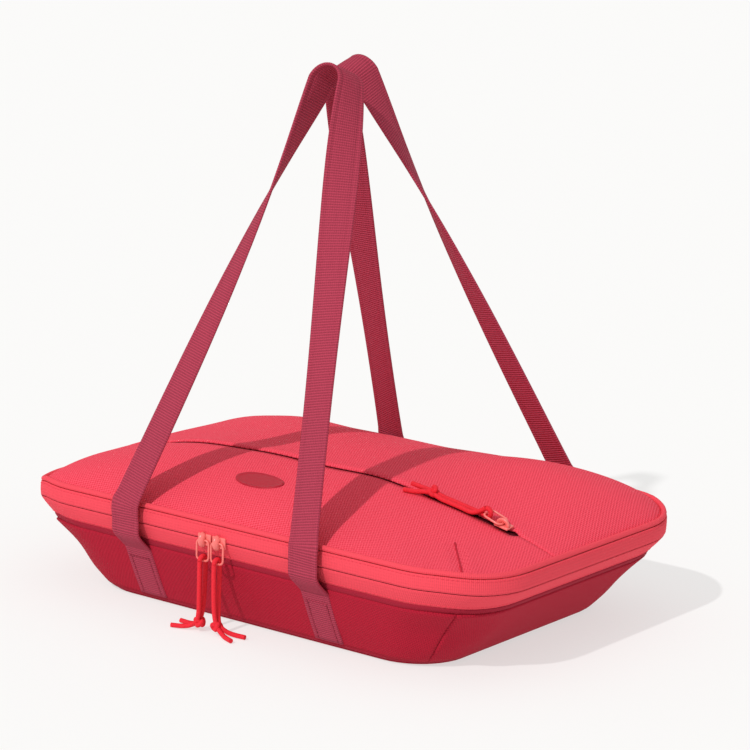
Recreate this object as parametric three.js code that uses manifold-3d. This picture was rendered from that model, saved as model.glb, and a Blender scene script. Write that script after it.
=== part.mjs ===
// Soft insulated casserole carrier: a tapered fabric tub, a domed lid closed by a zip band,
// two webbing handles, zip sliders with cord pulls and a pocket in the lid.
// Millimetres, +Z up, origin under the middle of the base. Front is -Y, the long side runs along X.
import * as THREE from 'three';
import { mergeVertices } from 'three/addons/utils/BufferGeometryUtils.js';
import Module from 'manifold-3d';

const wasm = await Module();
wasm.setup();

// Tub
const RIM_LENGTH = 430;
const RIM_WIDTH = 285;
const RIM_RADIUS = 63;
const BASE_LENGTH = 314;
const BASE_WIDTH = 222;
const BASE_RADIUS = 40;
const ZIP_HEIGHT = 67.4;
const BINDING_HEIGHT = 6;
const BINDING_PROUD = 0.8;
const LEFT_DROOP = 8.5;
const RIGHT_DROOP = 3;
const DROOP_START = 177;
const DROOP_FOOT = 12;
const WELT = 4;
const WELT_PROUD = 1.5;

// Layers
const FABRIC = 1.5;
const FOAM = 5;
const LINER = 1;
const BOARD = 2;
const CLEARANCE = 0.3;

// Zip band
const LOWER_BAND = 11.8;
const UPPER_BAND = 10.4;
const TAPE = 1.2;
const ZIP_GAP = 1.2;
const COIL = 1.5;
const STOP_LENGTH = 5;
const STOP_HEIGHT = 3.2;
const STOP_THICKNESS = 1.2;

// Lid
const PIPING = 4;
const LID_RISE = 29.5;
const LID_BACK_RAISE = 18;
const LID_FRONT_SLUMP = 42;
const SLUMP_START = 20;
const SLUMP_BACK = 70;
const SLUMP_FRONT = -110;
const LID_PLATEAU_POWER = 2.13;
const LID_SHOULDER_POWER = 0.8;
const BADGE_LENGTH = 42;
const BADGE_WIDTH = 20;
const BADGE_THICKNESS = 0.8;
const BADGE_X = -15;
const BADGE_Y = -88;

// Pocket in the lid
const POCKET_Y = -40;
const POCKET_SLIT = 1.2;
const POCKET_LEFT_MARGIN = 65;
const POCKET_RIGHT_MARGIN = 35;
const POCKET_SLIDER_REST = 14;
const POCKET_SLIDER_LIFT = 0.8;
const POCKET_TAPE_WIDTH = 8;
const POCKET_COIL_WIDTH = 4;
const POCKET_BAG_MARGIN = 30;
const POCKET_BAG_DEPTH = 110;

// Webbing
const STRAP_WIDTH = 25;
const STRAP = 2.2;
const STRAP_X = 82;
const FRONT_STRAPS_MIDDLE = -8;
const BACK_STRAPS_MIDDLE = 8;
const STRAP_STITCH_HEIGHT = 44;
const STRAP_STANDOFF = 4.5;
const HANDLE_HEIGHT = 394;
const FRONT_APEX_X = -6;
const BACK_APEX_X = -27;
const HANDLE_APEX_Y = 18;
const HANDLE_FOLD_RADIUS = 13.5;
const HANDLE_TWIST_POWER = 2.9;
const HANDLE_TURN = THREE.MathUtils.degToRad(13);
const HANDLE_TURN_POWER = 0.25;

// Sliders and pullers
const SLIDER_LENGTH = 12;
const SLIDER_HEIGHT = 8;
const SLIDER_RADIUS = 3;
const SLIDER_PLATE = 1.6;
const SLIDER_SPACING = 13.2;
const SLIDERS_MEET_X = -12;
const NECK_LENGTH = 3;
const NECK_THICKNESS = 0.6;
const INNER_PLATE = 1;
const INNER_PLATE_HEIGHT = 5;
const BRIDGE_WIDTH = 5;
const BRIDGE_HEIGHT = 6;
const BRIDGE_WALL = 1.2;
const WIRE_RADIUS = 0.8;
const WIRE_PLAY = 0.4;
const PULLER_WIDTH = 11;
const PULLER_LENGTH = 15;
const PULLER_CORNER = 3;

// Pull cords
const CORD = 3.5;
const CORD_SIDES = 8;
const KNOT = 9;
const POCKET_KNOT_REACH = 61;

// Facets
const CORNER_STEPS = 4;
const SIDE_SEGMENTS = 6;
const END_SEGMENTS = 4;
const DOME_STEPS = 7;
const LEG_STEPS = 9;
const FOLD_STEPS = 3;
const ROUND_SIDES = 6;

// Levels that follow from the sizes above
const ZIP_LOW = ZIP_HEIGHT - ZIP_GAP / 2;
const ZIP_HIGH = ZIP_HEIGHT + ZIP_GAP / 2;
const LOWER_TAPE_FOOT = ZIP_LOW - LOWER_BAND;
const BINDING_TOP = LOWER_TAPE_FOOT - CLEARANCE;
const BINDING_FOOT = BINDING_TOP - BINDING_HEIGHT;
const WALL_LEVELS = [DROOP_FOOT, BINDING_FOOT - CLEARANCE];
const WELT_CENTRE = FABRIC + CLEARANCE + WELT / 2;
const WALL_FOOT = WELT_CENTRE + WELT / 2 + CLEARANCE;
const FOAM_OUTER = FABRIC + CLEARANCE;
const FOAM_INNER = FOAM_OUTER + FOAM;
const LINER_OUTER = FOAM_INNER + CLEARANCE;
const LINER_INNER = LINER_OUTER + LINER;
const BOARD_FOOT = FABRIC + CLEARANCE + FOAM + CLEARANCE;
const FLOOR_FOOT = BOARD_FOOT + BOARD + CLEARANCE;
const FLOOR_TOP = FLOOR_FOOT + LINER;
const UPPER_TAPE_TOP = ZIP_HIGH + UPPER_BAND;
const COIL_OUTER = TAPE + CLEARANCE;
const COIL_INNER = COIL_OUTER + COIL;
const PIPING_CENTRE = UPPER_TAPE_TOP + CLEARANCE + PIPING / 2;
const LID_INSET = PIPING + CLEARANCE;
const LID_EDGE = UPPER_TAPE_TOP + CLEARANCE + FABRIC;
const POCKET_LEFT = POCKET_LEFT_MARGIN - RIM_LENGTH / 2;
const POCKET_RIGHT = RIM_LENGTH / 2 - POCKET_RIGHT_MARGIN;
const POCKET_SLIDER_X = POCKET_RIGHT - POCKET_SLIDER_REST;
const POCKET_TOP = FABRIC + CLEARANCE;
const POCKET_FOOT = POCKET_TOP + TAPE;
const LID_FOAM_TOP = POCKET_FOOT + CLEARANCE;
const LID_FOAM_FOOT = LID_FOAM_TOP + FOAM;
const LID_LINER_TOP = LID_FOAM_FOOT + CLEARANCE;
const LID_LINER_FOOT = LID_LINER_TOP + LINER;

// Colours of the materials
const CRIMSON = 0xa52738;
const DARK_CRIMSON = 0x8c1f2f;
const CORAL = 0xea4658;
const BAND_CORAL = 0xee5a68;
const ROSE = 0xbc4b5b;
const CORD_RED = 0xdc2b38;
const SLIDER_PINK = 0xe8736f;
const PATCH_RED = 0xb22335;
const LINING = 0xc9ccd0;
const FOAM_WHITE = 0xe9e6df;
const BOARD_GREY = 0x56575a;
const COIL_DARK = 0x6b1a24;

const carrier = new THREE.Group();
carrier.name = 'casserole_carrier';

function addPart(name, geometry, color, roughness = 0.85, metalness = 0) {
  const material = new THREE.MeshStandardMaterial({ color, roughness, metalness });
  const mesh = new THREE.Mesh(geometry, material);
  mesh.name = name;
  carrier.add(mesh);
  return mesh;
}

// A closed geometry from points and triangles, turned so that its faces point out.
function closedGeometry(points, faces) {
  const [a, b, c] = [new THREE.Vector3(), new THREE.Vector3(), new THREE.Vector3()];
  let volume = 0;
  for (let i = 0; i < faces.length; i += 3) {
    a.copy(points[faces[i]]);
    b.copy(points[faces[i + 1]]);
    c.copy(points[faces[i + 2]]);
    volume += a.dot(b.cross(c));
  }
  const index = volume < 0 ? faces.slice().reverse() : faces;
  const geometry = new THREE.BufferGeometry();
  geometry.setFromPoints(points);
  geometry.setIndex(index);
  geometry.computeVertexNormals();
  return geometry;
}

// Joins rings of equal point counts. A loop closes on itself, anything else gets two end caps. Facets
// of upright rings split from the lower point to the higher one, so that wall layers nest.
function loft(rings, isLoop = false, isUpright = false) {
  const count = rings[0].length;
  const points = rings.flat();
  const faces = [];
  const spans = isLoop ? rings.length : rings.length - 1;
  for (let r = 0; r < spans; r++) {
    const here = r * count;
    const next = ((r + 1) % rings.length) * count;
    for (let i = 0; i < count; i++) {
      const j = (i + 1) % count;
      if (isUpright && points[here + j].z < points[here + i].z) {
        faces.push(here + i, here + j, next + i);
        faces.push(here + j, next + j, next + i);
      } else {
        faces.push(here + i, here + j, next + j);
        faces.push(here + i, next + j, next + i);
      }
    }
  }
  if (!isLoop) {
    for (const [ring, start, turn] of [[rings[0], 0, 1], [rings.at(-1), (rings.length - 1) * count, 0]]) {
      const middle = new THREE.Vector3();
      ring.forEach((point) => middle.addScaledVector(point, 1 / count));
      const hub = points.push(middle) - 1;
      for (let i = 0; i < count; i++) {
        const j = (i + 1) % count;
        faces.push(hub, start + (turn ? j : i), start + (turn ? i : j));
      }
    }
  }
  return closedGeometry(points, faces);
}

function toSolid(geometry) {
  const bare = geometry.clone();
  bare.deleteAttribute('normal');
  bare.deleteAttribute('uv');
  const merged = mergeVertices(bare, 1e-4);
  const vertProperties = new Float32Array(merged.attributes.position.array);
  const triVerts = new Uint32Array(merged.index.array);
  return new wasm.Manifold(new wasm.Mesh({ numProp: 3, vertProperties, triVerts }));
}

function toGeometry(solid) {
  const mesh = solid.getMesh();
  const geometry = new THREE.BufferGeometry();
  geometry.setAttribute('position', new THREE.BufferAttribute(new Float32Array(mesh.vertProperties), 3));
  geometry.setIndex(Array.from(mesh.triVerts));
  geometry.computeVertexNormals();
  return geometry;
}

function boxBetween(low, high) {
  const size = new THREE.Vector3().subVectors(high, low);
  const geometry = new THREE.BoxGeometry(size.x, size.y, size.z);
  return geometry.translate((low.x + high.x) / 2, (low.y + high.y) / 2, (low.z + high.z) / 2);
}

function smoothstep(from, to, value) {
  const t = Math.min(Math.max((value - from) / (to - from), 0), 1);
  return t * t * (3 - 2 * t);
}

// Rounded-rectangle outlines. Each has the same points in the same order: front side, front right
// corner, right end, back right corner, back side, back left corner, left end, front left corner.
const SIDE_POINTS = SIDE_SEGMENTS - 1;
const END_POINTS = END_SEGMENTS - 1;
const CORNER_POINTS = CORNER_STEPS + 1;
const FRONT_RIGHT = SIDE_POINTS;
const BACK_RIGHT = FRONT_RIGHT + CORNER_POINTS + END_POINTS;
const BACK_LEFT = BACK_RIGHT + CORNER_POINTS + SIDE_POINTS;
const FRONT_LEFT = BACK_LEFT + CORNER_POINTS + END_POINTS;
const OUTLINE_POINTS = FRONT_LEFT + CORNER_POINTS;
const MID_CORNER = CORNER_STEPS / 2;

// Size of the tub's outline at a height: it widens evenly up to the zip line, then stays.
function outlineAt(z) {
  const share = Math.min(z / ZIP_HEIGHT, 1);
  const halfLength = THREE.MathUtils.lerp(BASE_LENGTH, RIM_LENGTH, share) / 2;
  const halfWidth = THREE.MathUtils.lerp(BASE_WIDTH, RIM_WIDTH, share) / 2;
  const radius = THREE.MathUtils.lerp(BASE_RADIUS, RIM_RADIUS, share);
  return { halfLength, halfWidth, radius };
}

// The soft ends of the rim hang lower than its middle. The floor stays flat.
function endDroop(x) {
  const droop = x < 0 ? LEFT_DROOP : RIGHT_DROOP;
  return droop * smoothstep(DROOP_START, RIM_LENGTH / 2, Math.abs(x));
}

// A point of an outline that reaches so far along X, lowered with the end of the rim above it.
function settled(x, y, z, reach) {
  const share = THREE.MathUtils.clamp((z - DROOP_FOOT) / (ZIP_HEIGHT - DROOP_FOOT), 0, 1);
  return new THREE.Vector3(x, y, z - share * endDroop((x / reach) * (RIM_LENGTH / 2)));
}

function outlineRing({ halfLength, halfWidth, radius }, inset, z) {
  const corner = Math.max(radius - inset, CLEARANCE);
  const coreX = halfLength - inset - corner;
  const coreY = halfWidth - inset - corner;
  const right = coreX + corner;
  const back = coreY + corner;
  const ring = [];
  const straight = (from, to, segments) => {
    for (let k = 1; k < segments; k++) {
      const t = k / segments;
      const x = THREE.MathUtils.lerp(from[0], to[0], t);
      const y = THREE.MathUtils.lerp(from[1], to[1], t);
      ring.push(settled(x, y, z, right));
    }
  };
  const arc = (x, y, start) => {
    for (let k = 0; k <= CORNER_STEPS; k++) {
      const angle = start + (k / CORNER_STEPS) * (Math.PI / 2);
      ring.push(settled(x + corner * Math.cos(angle), y + corner * Math.sin(angle), z, right));
    }
  };
  straight([-coreX, -back], [coreX, -back], SIDE_SEGMENTS);
  arc(coreX, -coreY, -Math.PI / 2);
  straight([right, -coreY], [right, coreY], END_SEGMENTS);
  arc(coreX, coreY, 0);
  straight([coreX, back], [-coreX, back], SIDE_SEGMENTS);
  arc(-coreX, coreY, Math.PI / 2);
  straight([-right, coreY], [-right, -coreY], END_SEGMENTS);
  arc(-coreX, -coreY, Math.PI);
  return ring;
}

function wallRing(z, inset) {
  return outlineRing(outlineAt(z), inset, z);
}

// A wall with the given section of [height, inset] points, all round or between two outline points.
function wallBand(section, from = 0, to = OUTLINE_POINTS) {
  const levels = section.map(([z, inset]) => wallRing(z, inset));
  const isLoop = to - from === OUTLINE_POINTS;
  const cut = (i) => levels.map((ring) => ring[i % OUTLINE_POINTS].clone());
  const sections = [];
  for (let i = from; i < to + (isLoop ? 0 : 1); i++) {
    sections.push(cut(i));
  }
  if (!isLoop) {
    trimEnd(sections[0], sections[1]);
    trimEnd(sections.at(-1), sections.at(-2));
  }
  return loft(sections, isLoop, true);
}

// Draws the end of a strip back by half a clearance, so that neighbours in a seam stay apart.
function trimEnd(end, neighbour) {
  const length = end[0].distanceTo(neighbour[0]);
  end.forEach((point, i) => point.lerp(neighbour[i], CLEARANCE / 2 / length));
}

// A flat section. The walls all bend at the same levels, so that their layers nest.
function flatSection(low, high, outer, inner) {
  const levels = [low, ...WALL_LEVELS.filter((z) => z > low && z < high), high];
  const outside = levels.map((z) => [z, outer]);
  const inside = levels.map((z) => [z, inner]);
  return [...outside, ...inside.reverse()];
}

function roundSection(centreZ, centreInset, radius) {
  const section = [];
  for (let k = 0; k < ROUND_SIDES; k++) {
    const angle = ((k + 0.5) / ROUND_SIDES) * 2 * Math.PI;
    section.push([centreZ + radius * Math.sin(angle), centreInset + radius * Math.cos(angle)]);
  }
  return section;
}

// Base: panel, welt in the seam, foam, stiffening board
function addBase() {
  const foot = outlineAt(0);
  const plate = (outline, inset, low, high) => loft([
    outlineRing(outline, inset, low),
    outlineRing(outline, inset, high),
  ]);
  addPart('base_panel', plate(foot, 0, 0, FABRIC), CRIMSON);
  const welt = roundSection(WELT_CENTRE, WELT / 2 - WELT_PROUD, WELT / 2);
  addPart('base_welt', wallBand(welt), DARK_CRIMSON);
  addPart('base_foam', plate(foot, LINER_OUTER, FABRIC + CLEARANCE, BOARD_FOOT - CLEARANCE), FOAM_WHITE);
  const board = plate(outlineAt(BOARD_FOOT), LINER_OUTER, BOARD_FOOT, BOARD_FOOT + BOARD);
  addPart('base_board', board, BOARD_GREY, 0.6);
}

// Walls: four panels meeting in a seam at the middle of each corner, foam, lining and rim binding
function addWalls() {
  const seams = [FRONT_RIGHT, BACK_RIGHT, BACK_LEFT, FRONT_LEFT].map((corner) => corner + MID_CORNER);
  const panels = [
    ['tub_right_panel', seams[0], seams[1]],
    ['tub_back_panel', seams[1], seams[2]],
    ['tub_left_panel', seams[2], seams[3]],
    ['tub_front_panel', seams[3], seams[0] + OUTLINE_POINTS],
  ];
  const skin = flatSection(WALL_FOOT, BINDING_FOOT - CLEARANCE, 0, FABRIC);
  for (const [name, from, to] of panels) {
    addPart(name, wallBand(skin, from, to), CRIMSON);
  }
  addPart('tub_foam', wallBand(flatSection(WALL_FOOT, BINDING_TOP, FOAM_OUTER, FOAM_INNER)), FOAM_WHITE);
  const lining = loft([
    wallRing(FLOOR_FOOT, LINER_OUTER),
    ...WALL_LEVELS.map((z) => wallRing(z, LINER_OUTER)),
    wallRing(BINDING_TOP, LINER_OUTER),
    wallRing(BINDING_TOP, LINER_INNER),
    ...WALL_LEVELS.map((z) => wallRing(z, LINER_INNER)).reverse(),
    wallRing(FLOOR_TOP, LINER_INNER),
  ]);
  addPart('tub_liner', lining, LINING, 0.45);
  const binding = flatSection(BINDING_FOOT, BINDING_TOP, -BINDING_PROUD, FABRIC);
  addPart('tub_rim_binding', wallBand(binding), DARK_CRIMSON);
}

// Zip band: tapes and coils from the back left corner round the front to the back right corner,
// and the hinge gusset that closes the back.
function addZipBand() {
  const zipStart = BACK_LEFT;
  const zipEnd = BACK_RIGHT + CORNER_STEPS;
  const lowerTape = flatSection(LOWER_TAPE_FOOT, ZIP_LOW, 0, TAPE);
  const upperTape = flatSection(ZIP_HIGH, UPPER_TAPE_TOP, 0, TAPE);
  const lowerCoil = flatSection(ZIP_LOW - COIL, ZIP_LOW, COIL_OUTER, COIL_INNER);
  const upperCoil = flatSection(ZIP_HIGH, ZIP_HIGH + COIL, COIL_OUTER, COIL_INNER);
  addPart('lower_zip_tape', wallBand(lowerTape, zipStart, zipEnd + OUTLINE_POINTS), BAND_CORAL);
  addPart('hinge_gusset', wallBand(lowerTape, zipEnd, zipStart), BAND_CORAL);
  addPart('upper_zip_tape', wallBand(upperTape), BAND_CORAL);
  addPart('lower_zip_coil', wallBand(lowerCoil, zipStart, zipEnd + OUTLINE_POINTS), COIL_DARK, 0.5);
  addPart('upper_zip_coil', wallBand(upperCoil, zipStart, zipEnd + OUTLINE_POINTS), COIL_DARK, 0.5);
  const stopTop = ZIP_LOW - CLEARANCE;
  const stopY = outlineAt(stopTop).halfWidth + CLEARANCE;
  const stopX = RIM_LENGTH / 2 - RIM_RADIUS;
  for (const [name, side] of [['zip_end_stop_left', -1], ['zip_end_stop_right', 1]]) {
    const top = stopTop - endDroop(side * stopX);
    const low = new THREE.Vector3(side * stopX - STOP_LENGTH / 2, stopY, top - STOP_HEIGHT);
    const high = new THREE.Vector3(side * stopX + STOP_LENGTH / 2, stopY + STOP_THICKNESS, top);
    addPart(name, boxBetween(low, high), SLIDER_PINK, 0.4);
  }
}

// Lid dome. Its contours are the lid's outline shrunk towards the middle, and a dome ring lies on
// each contour. Layers of the lid share these rings, so that they nest.
const LID_OUTLINE = outlineRing(outlineAt(ZIP_HEIGHT), LID_INSET, 0);
const DOME_SHARES = Array.from({ length: DOME_STEPS }, (_, k) => Math.cos((k / DOME_STEPS) * (Math.PI / 2)));

// How far out a point lies: 0 in the middle of the lid, 1 on its outline.
function domeShare(x, y) {
  let share = 0;
  LID_OUTLINE.forEach((a, i) => {
    const b = LID_OUTLINE[(i + 1) % OUTLINE_POINTS];
    const nx = b.y - a.y;
    const ny = a.x - b.x;
    share = Math.max(share, (nx * x + ny * y) / (nx * a.x + ny * a.y));
  });
  return Math.min(share, 1);
}

// Towards its right end the soft dome stands higher at the back and slumps at the front.
function domeHeight(x, y) {
  const toRight = smoothstep(SLUMP_START, RIM_LENGTH / 2, x);
  const toFront = smoothstep(-SLUMP_BACK, -SLUMP_FRONT, -y);
  const rise = LID_RISE + toRight * (LID_BACK_RAISE - LID_FRONT_SLUMP * toFront);
  const shoulder = (1 - domeShare(x, y) ** LID_PLATEAU_POWER) ** LID_SHOULDER_POWER;
  return LID_EDGE - endDroop(x) + rise * shoulder;
}

// A layer of the dome between two depths below its outer surface. Both faces split their facets the
// same way, so that one layer lies evenly on the next.
function domeLayer(top, foot) {
  const points = [];
  for (const depth of [top, foot]) {
    const domePoint = (x, y) => new THREE.Vector3(x, y, domeHeight(x, y) - depth);
    for (const share of DOME_SHARES) {
      LID_OUTLINE.forEach((edge) => points.push(domePoint(edge.x * share, edge.y * share)));
    }
    points.push(domePoint(0, 0));
  }
  const footStart = points.length / 2;
  const middle = footStart - 1;
  const faces = [];
  const facet = (a, b, c) => faces.push(a, b, c, footStart + a, footStart + c, footStart + b);
  for (let i = 0; i < OUTLINE_POINTS; i++) {
    const j = (i + 1) % OUTLINE_POINTS;
    for (let ring = 0; ring < DOME_STEPS - 1; ring++) {
      const outer = ring * OUTLINE_POINTS;
      const inner = outer + OUTLINE_POINTS;
      facet(outer + i, outer + j, inner + j);
      facet(outer + i, inner + j, inner + i);
    }
    const last = (DOME_STEPS - 1) * OUTLINE_POINTS;
    facet(last + i, last + j, middle);
    faces.push(j, i, footStart + i, j, footStart + i, footStart + j);
  }
  return closedGeometry(points, faces);
}

// The stretch of a dome layer that lies in a range of x and y.
function domePatch(layer, left, right, front, back) {
  const low = new THREE.Vector3(left, front, 0);
  const high = new THREE.Vector3(right, back, LID_EDGE + 2 * LID_RISE);
  return toGeometry(layer.intersect(toSolid(boxBetween(low, high))));
}

function addLid() {
  addPart('lid_piping', wallBand(roundSection(PIPING_CENTRE, PIPING / 2, PIPING / 2)), CORAL);
  const skin = toSolid(domeLayer(0, FABRIC));
  const slitFront = POCKET_Y - POCKET_SLIT / 2;
  const slitBack = POCKET_Y + POCKET_SLIT / 2;
  addPart('lid_front_panel', domePatch(skin, -RIM_LENGTH, RIM_LENGTH, -RIM_WIDTH, slitFront), CORAL);
  addPart('lid_back_panel', domePatch(skin, -RIM_LENGTH, RIM_LENGTH, slitBack, RIM_WIDTH), CORAL);
  addPart('lid_foam', domeLayer(LID_FOAM_TOP, LID_FOAM_FOOT), FOAM_WHITE);
  addPart('lid_liner', domeLayer(LID_LINER_TOP, LID_LINER_FOOT), LINING, 0.45);

  const pocket = toSolid(domeLayer(POCKET_TOP, POCKET_FOOT));
  const coil = POCKET_COIL_WIDTH / 2;
  const tapeNear = coil + CLEARANCE;
  const tapeFar = tapeNear + POCKET_TAPE_WIDTH;
  const bagFront = POCKET_Y + tapeFar + CLEARANCE;
  const strip = (from, to) => domePatch(pocket, POCKET_LEFT, POCKET_RIGHT, POCKET_Y + from, POCKET_Y + to);
  addPart('pocket_zip_coil', strip(-coil, coil), COIL_DARK, 0.5);
  addPart('pocket_zip_tape_front', strip(-tapeFar, -tapeNear), CORAL);
  addPart('pocket_zip_tape_back', strip(tapeNear, tapeFar), CORAL);
  const bag = domePatch(
    pocket, POCKET_LEFT, POCKET_RIGHT - POCKET_BAG_MARGIN, bagFront, bagFront + POCKET_BAG_DEPTH,
  );
  addPart('pocket_bag', bag, DARK_CRIMSON);

  const cloth = toSolid(domeLayer(-CLEARANCE - BADGE_THICKNESS, -CLEARANCE));
  const oval = new THREE.Shape();
  oval.absellipse(BADGE_X, BADGE_Y, BADGE_LENGTH / 2, BADGE_WIDTH / 2, 0, 2 * Math.PI);
  const ovalPrism = new THREE.ExtrudeGeometry(oval, {
    depth: LID_EDGE + 2 * LID_RISE, bevelEnabled: false, curveSegments: 16,
  });
  addPart('badge_patch', toGeometry(cloth.intersect(toSolid(ovalPrism))), PATCH_RED, 0.6);
}

// Webbing. The strap lies on the tub wall up to the stitch line, then stands clear of the band and
// leans in to the top of the handle.
const WALL_TILT = Math.atan((RIM_WIDTH - BASE_WIDTH) / 2 / ZIP_HEIGHT);
const WALL_UP = new THREE.Vector3(0, -Math.sin(WALL_TILT), Math.cos(WALL_TILT));
const WALL_OUT = new THREE.Vector3(0, -Math.cos(WALL_TILT), -Math.sin(WALL_TILT));

// A point of the front wall's outer face at a height, moved outwards by a distance.
function frontWall(x, z, out) {
  return new THREE.Vector3(x, -outlineAt(z).halfWidth, z).addScaledVector(WALL_OUT, out);
}

function strapRing(centre, along, out) {
  const across = new THREE.Vector3().crossVectors(out, along).normalize();
  const corners = [[-1, -1], [1, -1], [1, 1], [-1, 1]];
  return corners.map(([side, face]) => centre.clone()
    .addScaledVector(across, side * STRAP_WIDTH / 2)
    .addScaledVector(out, face * STRAP / 2));
}

function anchorGeometry(x, facing) {
  const lie = CLEARANCE + STRAP / 2;
  const foot = frontWall(x, WALL_FOOT + CLEARANCE, lie);
  const top = frontWall(x, STRAP_STITCH_HEIGHT, lie);
  const strip = loft([strapRing(foot, WALL_UP, WALL_OUT), strapRing(top, WALL_UP, WALL_OUT)]);
  return facing < 0 ? strip : mirrorBack(strip);
}

function mirrorBack(geometry) {
  const position = geometry.attributes.position;
  for (let i = 0; i < position.count; i++) {
    position.setY(i, -position.getY(i));
  }
  geometry.setIndex(Array.from(geometry.index.array).reverse());
  geometry.computeVertexNormals();
  return geometry;
}

// The lower stretch of a handle leg, from the stitch line over the binding and past the band, as
// points with the direction of the webbing there.
function handleFoot(x, legUp) {
  const start = frontWall(x, STRAP_STITCH_HEIGHT, CLEARANCE + STRAP / 2).addScaledVector(WALL_UP, CLEARANCE);
  const overBinding = frontWall(x, BINDING_FOOT - CLEARANCE, BINDING_PROUD + 2 * CLEARANCE + STRAP / 2);
  const atZip = new THREE.Vector3(x, BAND_STRAP_Y, ZIP_HEIGHT);
  const bend = new THREE.Vector3(x, BAND_STRAP_Y, LEG_FOOT);
  const stand = new THREE.Vector3().subVectors(atZip, overBinding).normalize();
  const upright = new THREE.Vector3(0, 0, 1);
  const between = (a, b) => new THREE.Vector3().addVectors(a, b).normalize();
  return [
    [start, WALL_UP],
    [overBinding, between(WALL_UP, stand)],
    [atZip, between(stand, upright)],
    [bend, between(upright, legUp)],
  ];
}

const BAND_STRAP_Y = -RIM_WIDTH / 2 - STRAP_STANDOFF - STRAP / 2;
const LEG_FOOT = LID_EDGE + STRAP;

// A handle climbs the right leg, folds over its top and comes down the left leg. Each leg twists on
// its way up, so that the fold lies across the plane of the loop, and all legs are also turned a
// little the same way about the vertical.
function handleGeometry(facing, middle, apexX) {
  const rise = new THREE.Vector3(0, -HANDLE_APEX_Y - BAND_STRAP_Y, HANDLE_HEIGHT - LEG_FOOT);
  const reach = rise.length();
  rise.normalize();
  const face = new THREE.Vector3(0, -rise.z, rise.y);
  const inLoop = (x, height) => new THREE.Vector3(x, BAND_STRAP_Y, LEG_FOOT).addScaledVector(rise, height);

  // In the plane of the loop each leg touches the small arc of the fold.
  const foldHeight = reach - STRAP / 2 - HANDLE_FOLD_RADIUS;
  const legTouch = (side) => {
    const run = STRAP_X - side * (apexX - middle);
    return Math.atan2(run, foldHeight) + Math.acos(HANDLE_FOLD_RADIUS / Math.hypot(run, foldHeight));
  };
  const foldPoint = (angle) => inLoop(
    apexX + HANDLE_FOLD_RADIUS * Math.sin(angle),
    foldHeight - HANDLE_FOLD_RADIUS * Math.cos(angle),
  );
  const foldStart = legTouch(1);
  const foldEnd = 2 * Math.PI - legTouch(-1);

  const turn = facing * HANDLE_TURN;
  const path = [];
  const legRings = (side, top) => {
    const x = middle + side * STRAP_X;
    const bend = inLoop(x, 0);
    const legUp = new THREE.Vector3().subVectors(top, bend).normalize();
    const rings = handleFoot(x, legUp).map(([point, along]) => [point, along, 0]);
    for (let k = 1; k <= LEG_STEPS; k++) {
      const t = k / LEG_STEPS;
      const twist = t ** HANDLE_TWIST_POWER * Math.PI / 2 + side * turn * t ** HANDLE_TURN_POWER;
      rings.push([bend.clone().lerp(top, t), legUp, twist]);
    }
    return rings;
  };
  path.push(...legRings(1, foldPoint(foldStart)));
  for (let k = 1; k < 2 * FOLD_STEPS; k++) {
    const share = k / (2 * FOLD_STEPS);
    const angle = THREE.MathUtils.lerp(foldStart, foldEnd, share);
    const along = new THREE.Vector3(Math.cos(angle), 0, 0).addScaledVector(rise, Math.sin(angle));
    path.push([foldPoint(angle), along, Math.PI / 2 + turn * (1 - 2 * share)]);
  }
  const leftLeg = legRings(-1, foldPoint(foldEnd)).reverse();
  path.push(...leftLeg.map(([point, along, twist]) => [point, along.clone().negate(), twist]));

  const rings = path.map(([point, along, twist]) => {
    const level = twist === 0 ? outOf(along) : face;
    const outer = new THREE.Vector3().crossVectors(along, level);
    const out = level.clone().multiplyScalar(Math.cos(twist)).addScaledVector(outer, Math.sin(twist));
    return strapRing(point, along, out);
  });
  const handle = loft(rings);
  return facing < 0 ? handle : mirrorBack(handle);
}

// The outward face of flat webbing that runs up or down the front.
function outOf(along) {
  const out = new THREE.Vector3(0, -along.z, along.y).normalize();
  return along.z < 0 ? out.negate() : out;
}

function addStraps() {
  const handles = [
    ['front', -1, FRONT_STRAPS_MIDDLE, FRONT_APEX_X],
    ['back', 1, BACK_STRAPS_MIDDLE, BACK_APEX_X],
  ];
  for (const [end, facing, middle, apexX] of handles) {
    for (const [hand, side] of [['left', -1], ['right', 1]]) {
      addPart(`${end}_anchor_strap_${hand}`, anchorGeometry(middle + side * STRAP_X, facing), ROSE);
    }
    addPart(`${end}_handle`, handleGeometry(facing, middle, apexX), ROSE);
  }
}

// Sliders. In its own frame a slider runs along X and its outer plate faces -Y, with y = 0 on the
// face of the cloth. A bridge on the plate holds the wire of the puller.
const WIRE_REACH = CLEARANCE + SLIDER_PLATE + WIRE_RADIUS + WIRE_PLAY;

function roundedRectangle(width, height, radius) {
  const [x, y] = [width / 2, height / 2];
  const shape = new THREE.Shape();
  shape.moveTo(-x + radius, -y);
  shape.lineTo(x - radius, -y);
  shape.absarc(x - radius, -y + radius, radius, -Math.PI / 2, 0);
  shape.lineTo(x, y - radius);
  shape.absarc(x - radius, y - radius, radius, 0, Math.PI / 2);
  shape.lineTo(-x + radius, y);
  shape.absarc(-x + radius, y - radius, radius, Math.PI / 2, Math.PI);
  shape.lineTo(-x, -y + radius);
  shape.absarc(-x + radius, -y + radius, radius, Math.PI, 1.5 * Math.PI);
  return shape;
}

function sliderPlate() {
  const outline = roundedRectangle(SLIDER_LENGTH, SLIDER_HEIGHT, SLIDER_RADIUS);
  const plate = new THREE.ExtrudeGeometry(outline, {
    depth: SLIDER_PLATE, bevelEnabled: false, curveSegments: 4,
  });
  return plate.rotateX(Math.PI / 2).translate(0, -CLEARANCE, 0);
}

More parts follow.
